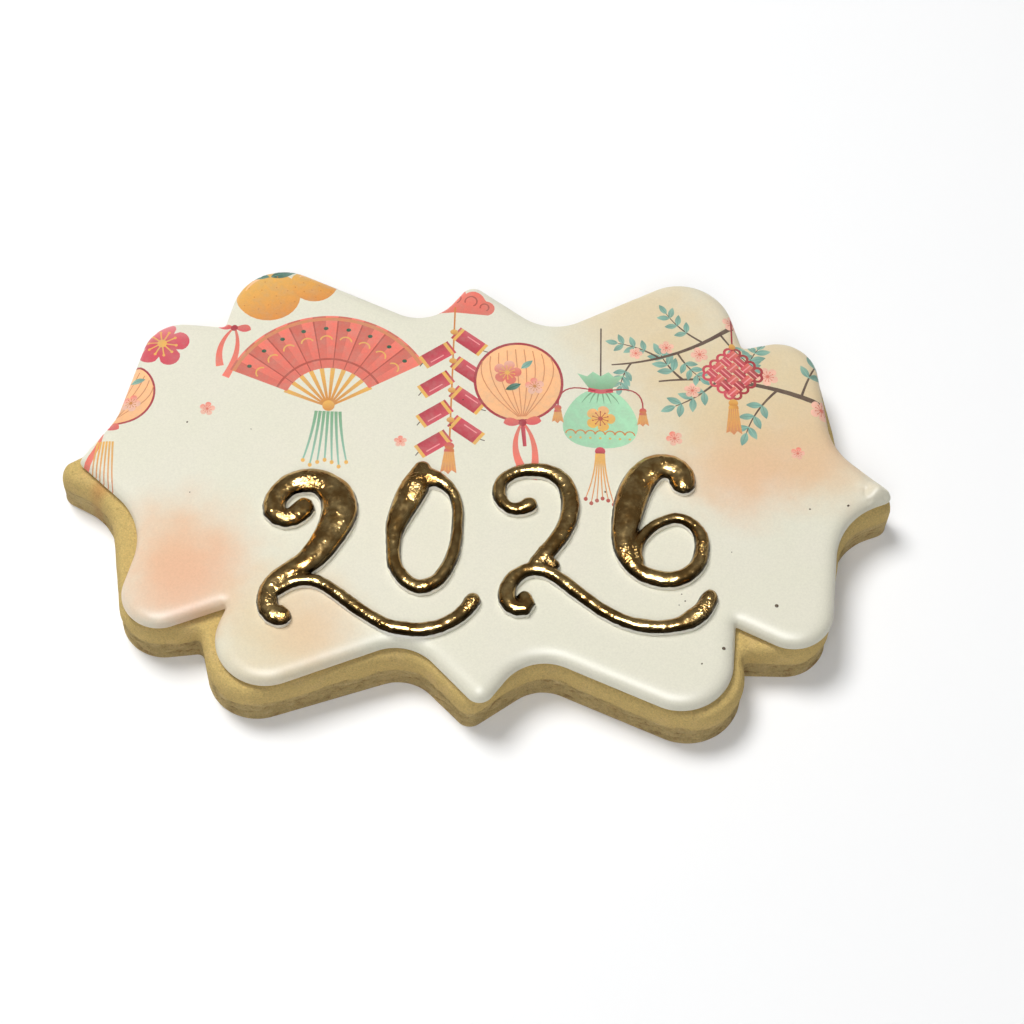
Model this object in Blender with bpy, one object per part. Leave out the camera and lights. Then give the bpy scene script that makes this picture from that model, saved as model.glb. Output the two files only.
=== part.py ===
"""A plaque-shaped sugar biscuit: a thick cut slab of dough, a flooded layer of icing on top of it,
and four piped numerals lying on the icing.

Units are metres through the MM factor, +Z is up. The origin is the middle of the biscuit's foot,
+X runs along its length and +Y points away from the reader of the numerals.
"""

import math
from collections import namedtuple

import bmesh
import bpy
from mathutils import Vector
from mathutils.geometry import delaunay_2d_cdt

MM = 0.001

# Driving dimensions, in millimetres
HALF_LENGTH = 63.0
HALF_WIDTH = 37.4
DOUGH_THICKNESS = 8.0
ICING_THICKNESS = 2.2
CLEARANCE = 0.3

# How finely outlines and strands are faceted
ARC_STEP = math.radians(20.0)
LINE_STEP = 4.5
STATION_STEP = 1.05
STRAND_SECTORS = 7

# A round stretch of an outline: its centre, its radius, and +1 where it bulges or -1 where it is hollow
Bend = namedtuple("Bend", "x y radius turn")

# One quarter of the cutter, from the side tip to the middle tip
SIDE_TIP_RADIUS = 2.3
MIDDLE_TIP_RADIUS = 2.4
LOBE_RADIUS = 8.1
CUTTER_QUARTER = {
    "side_tip": Bend(HALF_LENGTH - SIDE_TIP_RADIUS, 0.0, SIDE_TIP_RADIUS, 1),
    "flank": Bend(64.3, 11.5, 9.3, -1),
    "shoulder": Bend(46.4, 20.2, 6.7, 1),
    "notch": Bend(40.4, 27.2, 0.8, -1),
    "lobe": Bend(31.3, HALF_WIDTH - LOBE_RADIUS, LOBE_RADIUS, 1),
    "waist": Bend(10.5, 36.2, 6.5, -1),
    "middle_tip": Bend(0.0, 34.0, MIDDLE_TIP_RADIUS, 1),
}

# Where the baked dough left the cutter's shape: (x shift, y shift, change of radius)
DOUGH_SPREAD = {
    ("far", "left", "lobe"): (0.0, 0.2, 0.4),
    ("far", "right", "lobe"): (0.0, 0.2, 0.4),
    ("far", "right", "waist"): (0.4, 1.0, 1.2),
    ("far", "left", "waist"): (-0.4, -0.2, 0.0),
    ("far", "left", "middle_tip"): (-1.2, -0.4, 0.0),
    ("near", "left", "lobe"): (0.0, 0.5, -0.5),
    ("near", "left", "flank"): (1.4, 0.2, -0.5),
    ("near", "left", "shoulder"): (0.8, -0.2, 0.0),
    ("near", "right", "lobe"): (0.3, -0.1, 0.3),
    ("near", "right", "notch"): (0.3, -0.2, 0.0),
    ("near", "right", "waist"): (0.4, -0.8, 0.0),
    ("near", "right", "shoulder"): (-0.2, 0.4, 0.0),
    ("near", "right", "flank"): (-0.9, 0.5, -0.4),
}

# The dough's side: share of its thickness, and how far it lies inside the widest outline
DOUGH_SIDE = [(0.0, 0.35), (0.07, 0.0), (0.42, 0.0), (0.62, 0.25), (0.86, 0.75), (0.96, 1.15), (1.0, 1.7)]
WALL_WOBBLE = 0.16
WALL_WAVES = ((5, 0.4), (13, 2.1), (29, 4.4))

# The icing's edge, bend by bend from the right tip anticlockwise, as it was piped and flooded
ICING_BENDS = [
    Bend(61.1, 0.2, 1.1, 1),
    Bend(63.0, 13.0, 9.9, -1),
    Bend(46.0, 20.6, 6.0, 1),
    Bend(40.8, 26.2, 0.7, -1),
    Bend(30.8, 28.6, 8.2, 1),
    Bend(10.8, 36.5, 8.3, -1),
    Bend(-1.8, 32.6, 2.1, 1),
    Bend(-10.6, 35.6, 6.8, -1),
    Bend(-31.4, 28.5, 7.9, 1),
    Bend(-40.7, 26.3, 0.7, -1),
    Bend(-46.4, 19.8, 6.0, 1),
    Bend(-65.0, 12.5, 10.6, -1),
    Bend(-58.9, 0.8, 0.8, 1),
    Bend(-60.4, -12.9, 10.5, -1),
    Bend(-45.8, -20.7, 5.5, 1),
    Bend(-36.3, -23.0, 0.3, -1),
    Bend(-29.8, -27.4, 7.3, 1),
    Bend(-10.9, -35.4, 7.5, -1),
    Bend(1.2, -34.0, 2.1, 1),
    Bend(10.8, -36.9, 7.4, -1),
    Bend(30.0, -28.4, 7.8, 1),
    Bend(38.5, -22.9, 0.3, -1),
    Bend(46.6, -19.6, 6.1, 1),
    Bend(64.5, -11.5, 11.0, -1),
]
ICING_UNDERCUT = 0.3
ICING_LIP = 0.75
ICING_SHOULDER = 2.6
ICING_RINGS = (0.45, 1.1, 2.0)
ICING_GRID = 6.0
# The torn peak of icing on the right tip: x, y, height, reach
ICING_PEAK = (60.4, 0.5, 1.0, 1.5)

# Height of a piped strand over its foot, from its width
STRAND_BASE_HEIGHT = 0.75
STRAND_HEIGHT_PER_WIDTH = 0.29
STRAND_ROOT = 1.0

# Piped strands as (x, y, width) where the nozzle passed, smoothed into one curve each
NUMERALS = {
    "numeral_2_left": [
        [
            (-25.8, -7.0, 3.5),
            (-27.0, -8.3, 3.3),
            (-28.3, -8.8, 3.2),
            (-29.9, -7.8, 3.5),
            (-30.1, -6.1, 3.5),
            (-29.4, -4.6, 3.5),
            (-28.1, -3.2, 3.7),
            (-26.3, -2.4, 4.0),
            (-24.2, -2.3, 4.2),
            (-22.3, -3.2, 4.8),
            (-20.8, -4.9, 5.4),
            (-20.4, -7.2, 5.5),
            (-21.0, -9.7, 5.1),
            (-22.1, -12.2, 4.6),
            (-23.5, -14.6, 4.3),
            (-25.5, -16.6, 3.7),
            (-27.8, -18.1, 3.2),
            (-29.7, -20.2, 3.0),
            (-30.0, -22.4, 3.1),
            (-29.4, -24.2, 3.2),
            (-28.0, -24.8, 3.4),
        ],
        [
            (-29.2, -21.0, 2.0),
            (-26.7, -19.3, 2.0),
            (-24.5, -18.8, 2.0),
            (-22.4, -19.2, 2.1),
            (-20.2, -20.6, 2.1),
            (-17.6, -22.6, 2.1),
            (-15.0, -24.3, 2.1),
            (-12.6, -25.6, 2.2),
            (-10.5, -26.1, 2.3),
            (-7.9, -26.2, 2.3),
            (-5.3, -25.7, 2.3),
            (-2.7, -24.2, 2.3),
            (-1.0, -22.5, 2.4),
            (-0.3, -21.2, 2.6),
        ],
    ],
    "numeral_0": [
        [
            (-8.5, 0.2, 3.2),
            (-9.1, -1.7, 4.2),
            (-10.1, -4.0, 4.4),
            (-11.1, -6.5, 3.9),
            (-11.9, -9.0, 3.2),
            (-12.2, -11.4, 2.3),
            (-12.1, -13.8, 2.1),
            (-11.7, -16.1, 2.2),
            (-10.1, -18.3, 2.3),
            (-8.0, -19.3, 2.4),
            (-5.9, -18.4, 2.3),
            (-4.5, -16.5, 2.2),
            (-3.5, -14.0, 2.0),
            (-3.0, -11.4, 1.8),
            (-2.9, -8.8, 1.7),
            (-2.9, -6.1, 1.7),
            (-3.5, -3.8, 1.8),
            (-4.9, -2.0, 2.2),
            (-6.3, -1.2, 3.0),
            (-7.6, -0.9, 3.4),
        ],
    ],
    "numeral_2_right": [
        [
            (7.6, -4.9, 2.6),
            (6.1, -5.7, 2.2),
            (4.5, -5.4, 2.1),
            (3.2, -3.6, 2.1),
            (3.4, -1.3, 2.1),
            (5.1, 0.4, 2.1),
            (7.8, 1.1, 2.3),
            (10.5, 0.9, 2.5),
            (12.6, -0.5, 2.7),
            (13.6, -2.7, 2.8),
            (13.8, -5.4, 2.8),
            (13.2, -8.1, 2.8),
            (11.8, -10.8, 2.8),
            (10.3, -12.9, 2.8),
            (9.0, -14.6, 2.6),
        ],
        [
            (7.3, -20.4, 2.3),
            (7.8, -21.6, 2.4),
            (6.8, -22.3, 2.5),
            (5.3, -21.7, 2.6),
            (4.7, -20.1, 2.7),
            (5.0, -18.3, 2.5),
            (6.2, -16.7, 2.4),
            (8.1, -15.7, 2.3),
            (10.3, -15.9, 2.2),
            (12.5, -17.2, 2.2),
            (14.9, -19.1, 2.2),
            (17.1, -20.8, 2.1),
            (19.1, -22.2, 2.1),
            (21.4, -23.4, 2.1),
            (23.9, -24.1, 2.2),
            (26.5, -24.3, 2.2),
            (29.2, -23.9, 2.3),
            (31.5, -22.9, 3.0),
            (33.3, -21.3, 2.9),
            (34.3, -19.3, 2.7),
        ],
        [
            (10.5, -14.2, 1.8),
            (11.5, -14.7, 1.8),
        ],
    ],
    "numeral_6": [
        [
            (30.6, 0.0, 4.0),
            (30.2, 1.6, 4.2),
            (28.3, 2.6, 4.1),
            (26.3, 2.2, 4.5),
            (24.4, 0.3, 4.9),
            (23.2, -2.3, 5.0),
            (22.5, -5.0, 4.8),
            (22.0, -7.8, 4.2),
            (21.7, -10.4, 3.4),
            (22.1, -12.8, 2.9),
            (23.5, -14.9, 2.7),
            (25.7, -16.2, 2.7),
            (28.4, -16.6, 2.7),
            (30.7, -15.8, 2.6),
            (32.5, -14.1, 2.4),
            (33.3, -11.8, 2.3),
            (33.3, -9.4, 2.2),
            (32.1, -7.3, 2.0),
            (29.9, -6.2, 1.8),
            (27.6, -6.8, 1.8),
            (25.5, -8.3, 1.8),
            (24.0, -10.3, 2.0),
            (23.5, -12.3, 2.1),
            (23.9, -13.7, 1.9),
        ],
    ],
}

# Plain finishes: colour, roughness, metallic
FINISHES = {
    "baked_dough": ((0.52, 0.37, 0.16), 0.85, 0.0),
    "icing": ((0.84, 0.80, 0.68), 0.45, 0.0),
    "gold": ((0.62, 0.42, 0.17), 0.25, 1.0),
}


def clear_scene():
    """Removes whatever the file holds, so that only the model is left."""
    for old in list(bpy.data.objects):
        bpy.data.objects.remove(old, do_unlink=True)


def finish(name):
    """The material of that name, made on first use."""
    found = bpy.data.materials.get(name)
    if found:
        return found
    colour, roughness, metallic = FINISHES[name]
    material = bpy.data.materials.new(name)
    material.use_nodes = True
    shader = material.node_tree.nodes["Principled BSDF"]
    shader.inputs["Base Color"].default_value = (*colour, 1.0)
    shader.inputs["Roughness"].default_value = roughness
    shader.inputs["Metallic"].default_value = metallic
    material.diffuse_color = (*colour, 1.0)
    return material


def add_object(name, mesh, material):
    """Links a mesh, in metres, as a named object with its finish."""
    body = bpy.data.objects.new(name, mesh)
    bpy.context.scene.collection.objects.link(body)
    mesh.materials.append(finish(material))
    return body


def mesh_from(bm, name):
    """A mesh in metres from a bmesh in millimetres, smooth where its faces turn gently."""
    bmesh.ops.recalc_face_normals(bm, faces=bm.faces)
    bmesh.ops.scale(bm, vec=(MM, MM, MM), verts=bm.verts)
    mesh = bpy.data.meshes.new(name)
    bm.to_mesh(mesh)
    bm.free()
    mesh.shade_smooth()
    mesh.set_sharp_from_angle(angle=math.radians(40.0))
    return mesh


def cutter_bends():
    """The biscuit's outline, anticlockwise from the right tip: four mirrored quarters with the dough's spread."""
    bends = []
    names = list(CUTTER_QUARTER)
    quarters = (("far", "right", 1, 1), ("far", "left", -1, 1), ("near", "left", -1, -1), ("near", "right", 1, -1))
    for depth, side, sign_x, sign_y in quarters:
        # Mirroring once turns the order round, and each axis tip belongs to the quarter that starts there
        ordered = names[:-1] if sign_x * sign_y > 0 else names[:0:-1]
        for name in ordered:
            bend = CUTTER_QUARTER[name]
            shift_x, shift_y, grow = DOUGH_SPREAD.get((depth, side, name), (0.0, 0.0, 0.0))
            bends.append(
                Bend(sign_x * bend.x + shift_x, sign_y * bend.y + shift_y, bend.radius + grow, bend.turn)
            )
    return bends


def belt(bends):
    """Points and outward normals of the closed line that wraps the bends like a belt, anticlockwise."""
    count = len(bends)
    headings = []
    for i, here in enumerate(bends):
        there = bends[(i + 1) % count]
        reach = math.hypot(there.x - here.x, there.y - here.y)
        bearing = math.atan2(there.y - here.y, there.x - here.x)
        lean = math.asin((here.turn * here.radius - there.turn * there.radius) / reach)
        headings.append(bearing + lean)
    points, normals = [], []
    for i, bend in enumerate(bends):
        start = headings[i - 1] - math.pi / 2
        swing = (headings[i] - headings[i - 1] + math.pi) % math.tau - math.pi
        steps = max(1, math.ceil(abs(swing) / ARC_STEP))
        for k in range(steps + 1):
            angle = start + swing * k / steps
            normal = Vector((math.cos(angle), math.sin(angle)))
            point = Vector((bend.x, bend.y)) + normal * (bend.turn * bend.radius)
            if points:
                fill_straight(points, normals, point, normal)
            points.append(point)
            normals.append(normal)
    fill_straight(points, normals, points[0], normals[0])
    return points, normals


def fill_straight(points, normals, end, normal):
    """Adds points on the straight run from the last point to end, where it is long."""
    start = points[-1]
    steps = math.ceil((end - start).length / LINE_STEP)
    for k in range(1, steps):
        points.append(start.lerp(end, k / steps))
        normals.append(normal)


def add_loop(bm, points, heights):
    """Vertices at the points, each at its height."""
    return [bm.verts.new((p.x, p.y, z)) for p, z in zip(points, heights)]


def bridge(bm, lower, upper):
    """Quads between two loops of equal length."""
    count = len(lower)
    for i in range(count):
        j = (i + 1) % count
        bm.faces.new((lower[i], lower[j], upper[j], upper[i]))


def build_biscuit():
    """The slab of baked dough, its side a stack of outlines and its edges rounded over."""
    points, normals = belt(cutter_bends())
    count = len(points)
    bm = bmesh.new()
    loops = []
    for share, inset in DOUGH_SIDE:
        level = []
        for i, (point, normal) in enumerate(zip(points, normals)):
            turn = math.tau * i / count
            wave = sum(math.sin(n * turn + phase + 2.0 * share) for n, phase in WALL_WAVES) / len(WALL_WAVES)
            wobble = WALL_WOBBLE * wave * math.sin(math.pi * min(1.0, 0.15 + share))
            level.append(point + normal * (wobble - inset))
        loops.append(add_loop(bm, level, [share * DOUGH_THICKNESS] * count))
    for lower, upper in zip(loops, loops[1:]):
        bridge(bm, lower, upper)
    bm.faces.new(loops[0][::-1])
    bm.faces.new(loops[-1])
    add_object("biscuit", mesh_from(bm, "biscuit"), "baked_dough")


def edge_distance(point, outline):
    """How far a point lies from the closed outline."""
    best = math.inf
    for start, end in zip(outline, outline[1:] + outline[:1]):
        run = end - start
        along = max(0.0, min(1.0, (point - start).dot(run) / max(run.length_squared, 1e-9)))
        best = min(best, (point - start - run * along).length_squared)
    return math.sqrt(best)


def is_inside(point, outline):
    """True where the point lies within the closed outline."""
    inside = False
    for start, end in zip(outline, outline[1:] + outline[:1]):
        if (start.y > point.y) != (end.y > point.y):
            crossing = start.x + (point.y - start.y) * (end.x - start.x) / (end.y - start.y)
            inside ^= point.x < crossing
    return inside


def icing_rise(point, distance):
    """Height of the icing's top over its foot: a rounded shoulder that levels off, and the torn peak."""
    across = min(1.0, distance / ICING_SHOULDER)
    shoulder = (1.0 - (1.0 - across) ** 2.4) ** (1.0 / 1.7)
    peak_x, peak_y, height, reach = ICING_PEAK
    off_peak = math.hypot(point.x - peak_x, point.y - peak_y) / reach
    peak = height * math.exp(-(off_peak**2)) * min(1.0, distance / reach)
    return ICING_LIP + (ICING_THICKNESS - ICING_LIP) * shoulder + peak


def icing_inner_points(points, normals):
    """Points inside the edge: rings that follow it over the shoulder, then an even triangular grid."""
    inner = []
    for inset in ICING_RINGS:
        for point, normal in zip(points, normals):
            moved = point - normal * inset
            if edge_distance(moved, points) > 0.95 * inset:
                inner.append(moved)
    row_step = ICING_GRID * math.sqrt(0.75)
    for row in range(-8, 9):
        for column in range(-12, 13):
            spot = Vector(((column + 0.5 * (row % 2)) * ICING_GRID, row * row_step))
            if is_inside(spot, points) and edge_distance(spot, points) > ICING_SHOULDER:
                inner.append(spot)
    return inner


def build_icing():
    """The flooded icing: a flat foot on the dough, a low upright edge and a top that rounds up to level."""
    points, normals = belt(ICING_BENDS)
    count = len(points)
    foot_height = DOUGH_THICKNESS + CLEARANCE
    bm = bmesh.new()
    foot = add_loop(bm, [p - n * ICING_UNDERCUT for p, n in zip(points, normals)], [foot_height] * count)
    rim = add_loop(bm, points, [foot_height + ICING_LIP] * count)
    bm.faces.new(foot[::-1])
    bridge(bm, foot, rim)
    inner = icing_inner_points(points, normals)
    border = list(range(count))
    flat, _, triangles, origins, _, _ = delaunay_2d_cdt(points + inner, [], [border], 1, 1e-4)
    top = []
    for spot, origin in zip(flat, origins):
        on_rim = [k for k in origin if k < count]
        if on_rim:
            top.append(rim[on_rim[0]])
        else:
            rise = icing_rise(spot, edge_distance(spot, points))
            top.append(bm.verts.new((spot.x, spot.y, foot_height + rise)))
    for triangle in triangles:
        bm.faces.new([top[k] for k in triangle])
    add_object("icing", mesh_from(bm, "icing"), "icing")


def smooth_stations(knots):
    """Even stations (x, y, width) on the smooth curve through a strand's knots."""
    knots = [Vector(k) for k in knots]
    padded = [2 * knots[0] - knots[1], *knots, 2 * knots[-1] - knots[-2]]
    fine = []
    for before, start, end, after in zip(padded, padded[1:], padded[2:], padded[3:]):
        for k in range(8):
            t = k / 8
            fine.append(
                0.5
                * (
                    2 * start
                    + (end - before) * t
                    + (2 * before - 5 * start + 4 * end - after) * t**2
                    + (3 * start - before - 3 * end + after) * t**3
                )
            )
    fine.append(knots[-1])
    lengths = [0.0]
    for a, b in zip(fine, fine[1:]):
        lengths.append(lengths[-1] + (b.xy - a.xy).length)
    steps = max(2, round(lengths[-1] / STATION_STEP))
    stations, k = [], 0
    for i in range(steps + 1):
        target = lengths[-1] * i / steps
        while k < len(fine) - 2 and lengths[k + 1] < target:
            k += 1
        share = (target - lengths[k]) / max(lengths[k + 1] - lengths[k], 1e-9)
        stations.append(fine[k].lerp(fine[k + 1], min(1.0, share)))
    return stations


def strand_sections(stations):
    """(centre, heading, half width, height) along a strand, with a round cap worked out at each end."""
    sections = []
    last = len(stations) - 1
    for i, here in enumerate(stations):
        heading = (stations[min(last, i + 1)].xy - stations[max(0, i - 1)].xy).normalized()
        height = STRAND_BASE_HEIGHT + STRAND_HEIGHT_PER_WIDTH * here.z
        sections.append((here.xy, heading, here.z / 2, height))
    caps = (math.radians(35.0), math.radians(65.0), math.radians(84.0))
    for at_end in (False, True):
        centre, heading, half, height = sections[-1 if at_end else 0]
        outward = heading if at_end else -heading
        for angle in caps:
            shrink = math.cos(angle)
            section = (centre + outward * half * math.sin(angle), heading, half * shrink, height * shrink**0.7)
            if at_end:
                sections.append(section)
            else:
                sections.insert(0, section)
    return sections


def strand_mesh(knots, foot_height, name):
    """One closed piped strand: a rounded ridge with upright roots that reach below the numeral's foot."""
    bm = bmesh.new()
    rings = []
    for centre, heading, half, height in strand_sections(smooth_stations(knots)):
        across = Vector((-heading.y, heading.x))
        ring = [(half, -STRAND_ROOT)]
        for k in range(STRAND_SECTORS):
            angle = math.pi * k / (STRAND_SECTORS - 1)
            ring.append((half * math.cos(angle), height * math.sin(angle) ** 0.85))
        ring.append((-half, -STRAND_ROOT))
        rings.append(
            [bm.verts.new((centre.x + across.x * u, centre.y + across.y * u, foot_height + v)) for u, v in ring]
        )
    for lower, upper in zip(rings, rings[1:]):
        bridge(bm, lower, upper)
    bm.faces.new(rings[0])
    bm.faces.new(rings[-1][::-1])
    bmesh.ops.recalc_face_normals(bm, faces=bm.faces)
    mesh = bpy.data.meshes.new(name)
    bm.to_mesh(mesh)
    bm.free()
    return mesh


def fuse(base, others):
    """Joins the other strands into base by one Boolean union and removes them."""
    strands = bpy.data.collections.new("strands")
    bpy.context.scene.collection.children.link(strands)
    for other in others:
        strands.objects.link(other)
    union = base.modifiers.new("union", "BOOLEAN")
    union.operation = "UNION"
    union.solver = "EXACT"
    union.operand_type = "COLLECTION"
    union.collection = strands
    union.use_self = True
    graph = bpy.context.evaluated_depsgraph_get()
    fused = bpy.data.meshes.new_from_object(base.evaluated_get(graph))
    for spent in [base, *others]:
        bpy.data.objects.remove(spent, do_unlink=True)
    bpy.data.collections.remove(strands)
    return fused


def build_numeral(name, strands):
    """A piped numeral: its strands fused, and cut level where it sits on the icing."""
    foot_height = DOUGH_THICKNESS + CLEARANCE + ICING_THICKNESS + CLEARANCE
    parts = []
    for i, knots in enumerate(strands):
        part = bpy.data.objects.new(f"{name}_strand_{i}", strand_mesh(knots, foot_height, name))
        bpy.context.scene.collection.objects.link(part)
        parts.append(part)
    fused = fuse(parts[0], parts[1:])
    bm = bmesh.new()
    bm.from_mesh(fused)
    bpy.data.meshes.remove(fused)
    bmesh.ops.remove_doubles(bm, verts=bm.verts, dist=0.002)
    everything = bm.verts[:] + bm.edges[:] + bm.faces[:]
    bmesh.ops.bisect_plane(
        bm, geom=everything, dist=1e-5, plane_co=(0, 0, foot_height), plane_no=(0, 0, -1), clear_outer=True
    )
    rim = [edge for edge in bm.edges if edge.is_boundary]
    bmesh.ops.triangle_fill(bm, use_beauty=True, use_dissolve=False, edges=rim, normal=(0, 0, -1))
    add_object(name, mesh_from(bm, name), "gold")


def main():
    clear_scene()
    build_biscuit()
    build_icing()
    for name, strands in NUMERALS.items():
        build_numeral(name, strands)


main()
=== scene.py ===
"""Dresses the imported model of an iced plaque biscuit: crumbly dough, flooded icing with a festive print,
wrinkled gold numerals, and a pale studio round it.

Meshes are worked out in millimetres and turned to metres as their last step.
"""

import math
from collections import namedtuple

import bmesh
import bpy
from bpy.props import FloatProperty, FloatVectorProperty, PointerProperty
from mathutils import Matrix, Vector, noise
from mathutils.geometry import delaunay_2d_cdt
from mathutils.kdtree import KDTree


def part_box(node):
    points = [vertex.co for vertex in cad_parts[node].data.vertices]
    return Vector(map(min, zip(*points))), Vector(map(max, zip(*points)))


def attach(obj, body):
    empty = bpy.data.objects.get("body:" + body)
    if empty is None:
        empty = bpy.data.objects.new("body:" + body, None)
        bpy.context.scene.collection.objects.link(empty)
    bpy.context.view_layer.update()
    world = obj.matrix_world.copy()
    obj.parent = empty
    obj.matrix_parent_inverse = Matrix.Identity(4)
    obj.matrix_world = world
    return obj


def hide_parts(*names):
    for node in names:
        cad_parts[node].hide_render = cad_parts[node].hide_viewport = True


bl_info = {
    "name": "Iced plaque biscuit",
    "version": (1, 0, 0),
    "blender": (4, 5, 0),
    "location": "3D View > Sidebar > Biscuit",
    "description": "Builds a plaque biscuit with printed icing and piped gold numerals",
    "category": "Add Mesh",
}

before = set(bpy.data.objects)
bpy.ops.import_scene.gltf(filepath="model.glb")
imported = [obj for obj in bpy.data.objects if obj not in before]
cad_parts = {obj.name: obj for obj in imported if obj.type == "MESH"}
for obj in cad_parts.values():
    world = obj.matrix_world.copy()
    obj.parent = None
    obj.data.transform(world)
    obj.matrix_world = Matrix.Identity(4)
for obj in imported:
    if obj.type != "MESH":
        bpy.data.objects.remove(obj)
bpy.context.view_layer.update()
MM = 0.001
# Keeps a vector's level part
LEVEL = (1.0, 1.0, 0.0)
# Points nearer than this are one point of a triangulation
MERGE = 1e-4

# Heights that the frame gives, in millimetres
DOUGH_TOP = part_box("biscuit")[1][2] / MM
ICING_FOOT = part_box("icing")[0][2] / MM
NUMERAL_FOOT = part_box("numeral_0")[0][2] / MM
NUMERAL_NODES = ("numeral_2_left", "numeral_0", "numeral_2_right", "numeral_6")

# A round stretch of an outline: its centre, its radius, and +1 where it bulges or -1 where it is hollow
Bend = namedtuple("Bend", "x y radius turn")

# The dough's outline, from the right tip anticlockwise
DOUGH_BENDS = [
    Bend(60.7, 0.0, 2.3, 1),
    Bend(64.3, 11.5, 9.3, -1),
    Bend(46.4, 20.2, 6.7, 1),
    Bend(40.4, 27.2, 0.8, -1),
    Bend(31.3, 29.5, 8.5, 1),
    Bend(10.9, 37.2, 7.7, -1),
    Bend(-1.2, 33.6, 2.4, 1),
    Bend(-10.9, 36.0, 6.5, -1),
    Bend(-31.3, 29.5, 8.5, 1),
    Bend(-40.4, 27.2, 0.8, -1),
    Bend(-46.4, 20.2, 6.7, 1),
    Bend(-64.3, 11.5, 9.3, -1),
    Bend(-60.7, 0.0, 2.3, 1),
    Bend(-62.9, -11.3, 8.8, -1),
    Bend(-45.6, -20.4, 6.7, 1),
    Bend(-40.4, -27.2, 0.8, -1),
    Bend(-31.3, -28.8, 7.6, 1),
    Bend(-10.5, -36.2, 6.5, -1),
    Bend(0.0, -34.0, 2.4, 1),
    Bend(10.9, -37.0, 6.5, -1),
    Bend(31.6, -29.4, 8.4, 1),
    Bend(40.7, -27.4, 0.8, -1),
    Bend(46.2, -19.8, 6.7, 1),
    Bend(63.4, -11.0, 8.9, -1),
]

# The icing's edge, from the right tip anticlockwise
ICING_BENDS = [
    Bend(61.1, 0.2, 1.1, 1),
    Bend(63.0, 13.0, 9.9, -1),
    Bend(46.0, 20.6, 6.0, 1),
    Bend(40.8, 26.2, 0.7, -1),
    Bend(30.8, 28.6, 8.2, 1),
    Bend(10.8, 36.5, 8.3, -1),
    Bend(-1.8, 32.6, 2.1, 1),
    Bend(-10.6, 35.6, 6.8, -1),
    Bend(-31.4, 28.5, 7.9, 1),
    Bend(-40.7, 26.3, 0.7, -1),
    Bend(-46.4, 19.8, 6.0, 1),
    Bend(-65.0, 12.5, 10.6, -1),
    Bend(-58.9, 0.8, 0.8, 1),
    Bend(-60.4, -12.9, 10.5, -1),
    Bend(-45.8, -20.7, 5.5, 1),
    Bend(-36.3, -23.0, 0.3, -1),
    Bend(-29.8, -27.4, 7.3, 1),
    Bend(-10.9, -35.4, 7.5, -1),
    Bend(1.2, -34.0, 2.1, 1),
    Bend(10.8, -36.9, 7.4, -1),
    Bend(30.0, -28.4, 7.8, 1),
    Bend(38.5, -22.9, 0.3, -1),
    Bend(46.6, -19.6, 6.1, 1),
    Bend(64.5, -11.5, 11.0, -1),
]

# The dough's side: the heights and insets of its rounded foot, its straight part, and its round shoulder
DOUGH_FOOT = [(0.0, 0.35), (0.12, 0.14), (0.32, 0.03), (0.6, 0.0)]
DOUGH_SIDE_TOP = 4.7
DOUGH_SIDE_STEPS = 20
DOUGH_SHOULDER_REACH = 1.75
DOUGH_SHOULDER_STEPS = 10
# Powers that make the shoulder a little fuller than a quarter of an ellipse
DOUGH_SHOULDER_RISE = 0.9
DOUGH_SHOULDER_TURN = 0.8
DOUGH_RIM_INSETS = (1.95, 2.15)
WALL_STEP = 0.4
# The dough's top where it is meshed finely: its grid, half its size, and how far it runs under the icing
BARE_DOUGH_GRID = 0.75
DOUGH_HALVES = (63.0, 38.0)
BARE_DOUGH_MARGIN = 1.2
# Squeezes the crumb's texture into layers
CRUMB_LAYERS = (0.5, 0.5, 1.5)
# A browned spot of the dough: x, y, radius, strength
DOUGH_STAIN = (-56.7, -3.4, 1.8, 0.45)

# The icing's lip and shoulder
ICING_THICKNESS = 2.2
ICING_LIP = 0.75
ICING_SHOULDER = 2.6
ICING_STEP = 0.45
ICING_LIP_ROUNDS = 5
ICING_LIP_BULGE = 0.16
ICING_LIP_UNDERCUT = 0.3
# How far the icing's foot goes below its solid's, towards the dough
ICING_FOOT_SINK = 0.15
ICING_RINGS = (0.1, 0.24, 0.45, 0.75, 1.1, 1.5, 2.0, 2.6, 3.4, 4.4)
ICING_GRID = 1.5
ICING_HALVES = (62.0, 37.0)
ICING_SWELL = 0.05
# Round bumps and dents of the icing: x, y, height, reach
ICING_BUMPS = [
    (60.2, 0.6, 0.75, 1.3),
    (59.4, -0.7, 0.25, 0.8),
    (58.3, 0.4, -0.24, 0.45),
    (58.2, -0.3, -0.20, 0.4),
    (58.8, -1.4, -0.16, 0.4),
    (61.3, -0.6, -0.45, 0.4),
    (57.6, 1.4, 0.15, 0.9),
]
# Where the icing is meshed finely for its small bumps
ICING_PEAK = Vector((59.6, 0.0))
ICING_PEAK_HALVES = (3.2, 2.4)
ICING_PEAK_GRID = 0.22

# Soft airbrushed patches on the icing: x, y, radius, colour name, strength
WASHES = [
    (-43.0, -16.5, 12.5, "peach_wash", 0.85),
    (-41.5, -19.5, 8.5, "rose_wash", 0.45),
    (-27.5, -27.0, 12.5, "beige_wash", 0.70),
    (-23.0, -25.5, 8.0, "peach_wash", 0.30),
    (52.5, 4.5, 9.5, "beige_wash", 0.50),
    (40.0, 4.5, 11.5, "peach_wash", 0.85),
    (51.0, 9.0, 11.0, "peach_wash", 0.60),
    (36.0, 17.0, 19.0, "beige_wash", 0.80),
    (50.0, 19.0, 14.0, "beige_wash", 0.65),
    (24.0, 30.0, 14.0, "beige_wash", 0.65),
]

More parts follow.
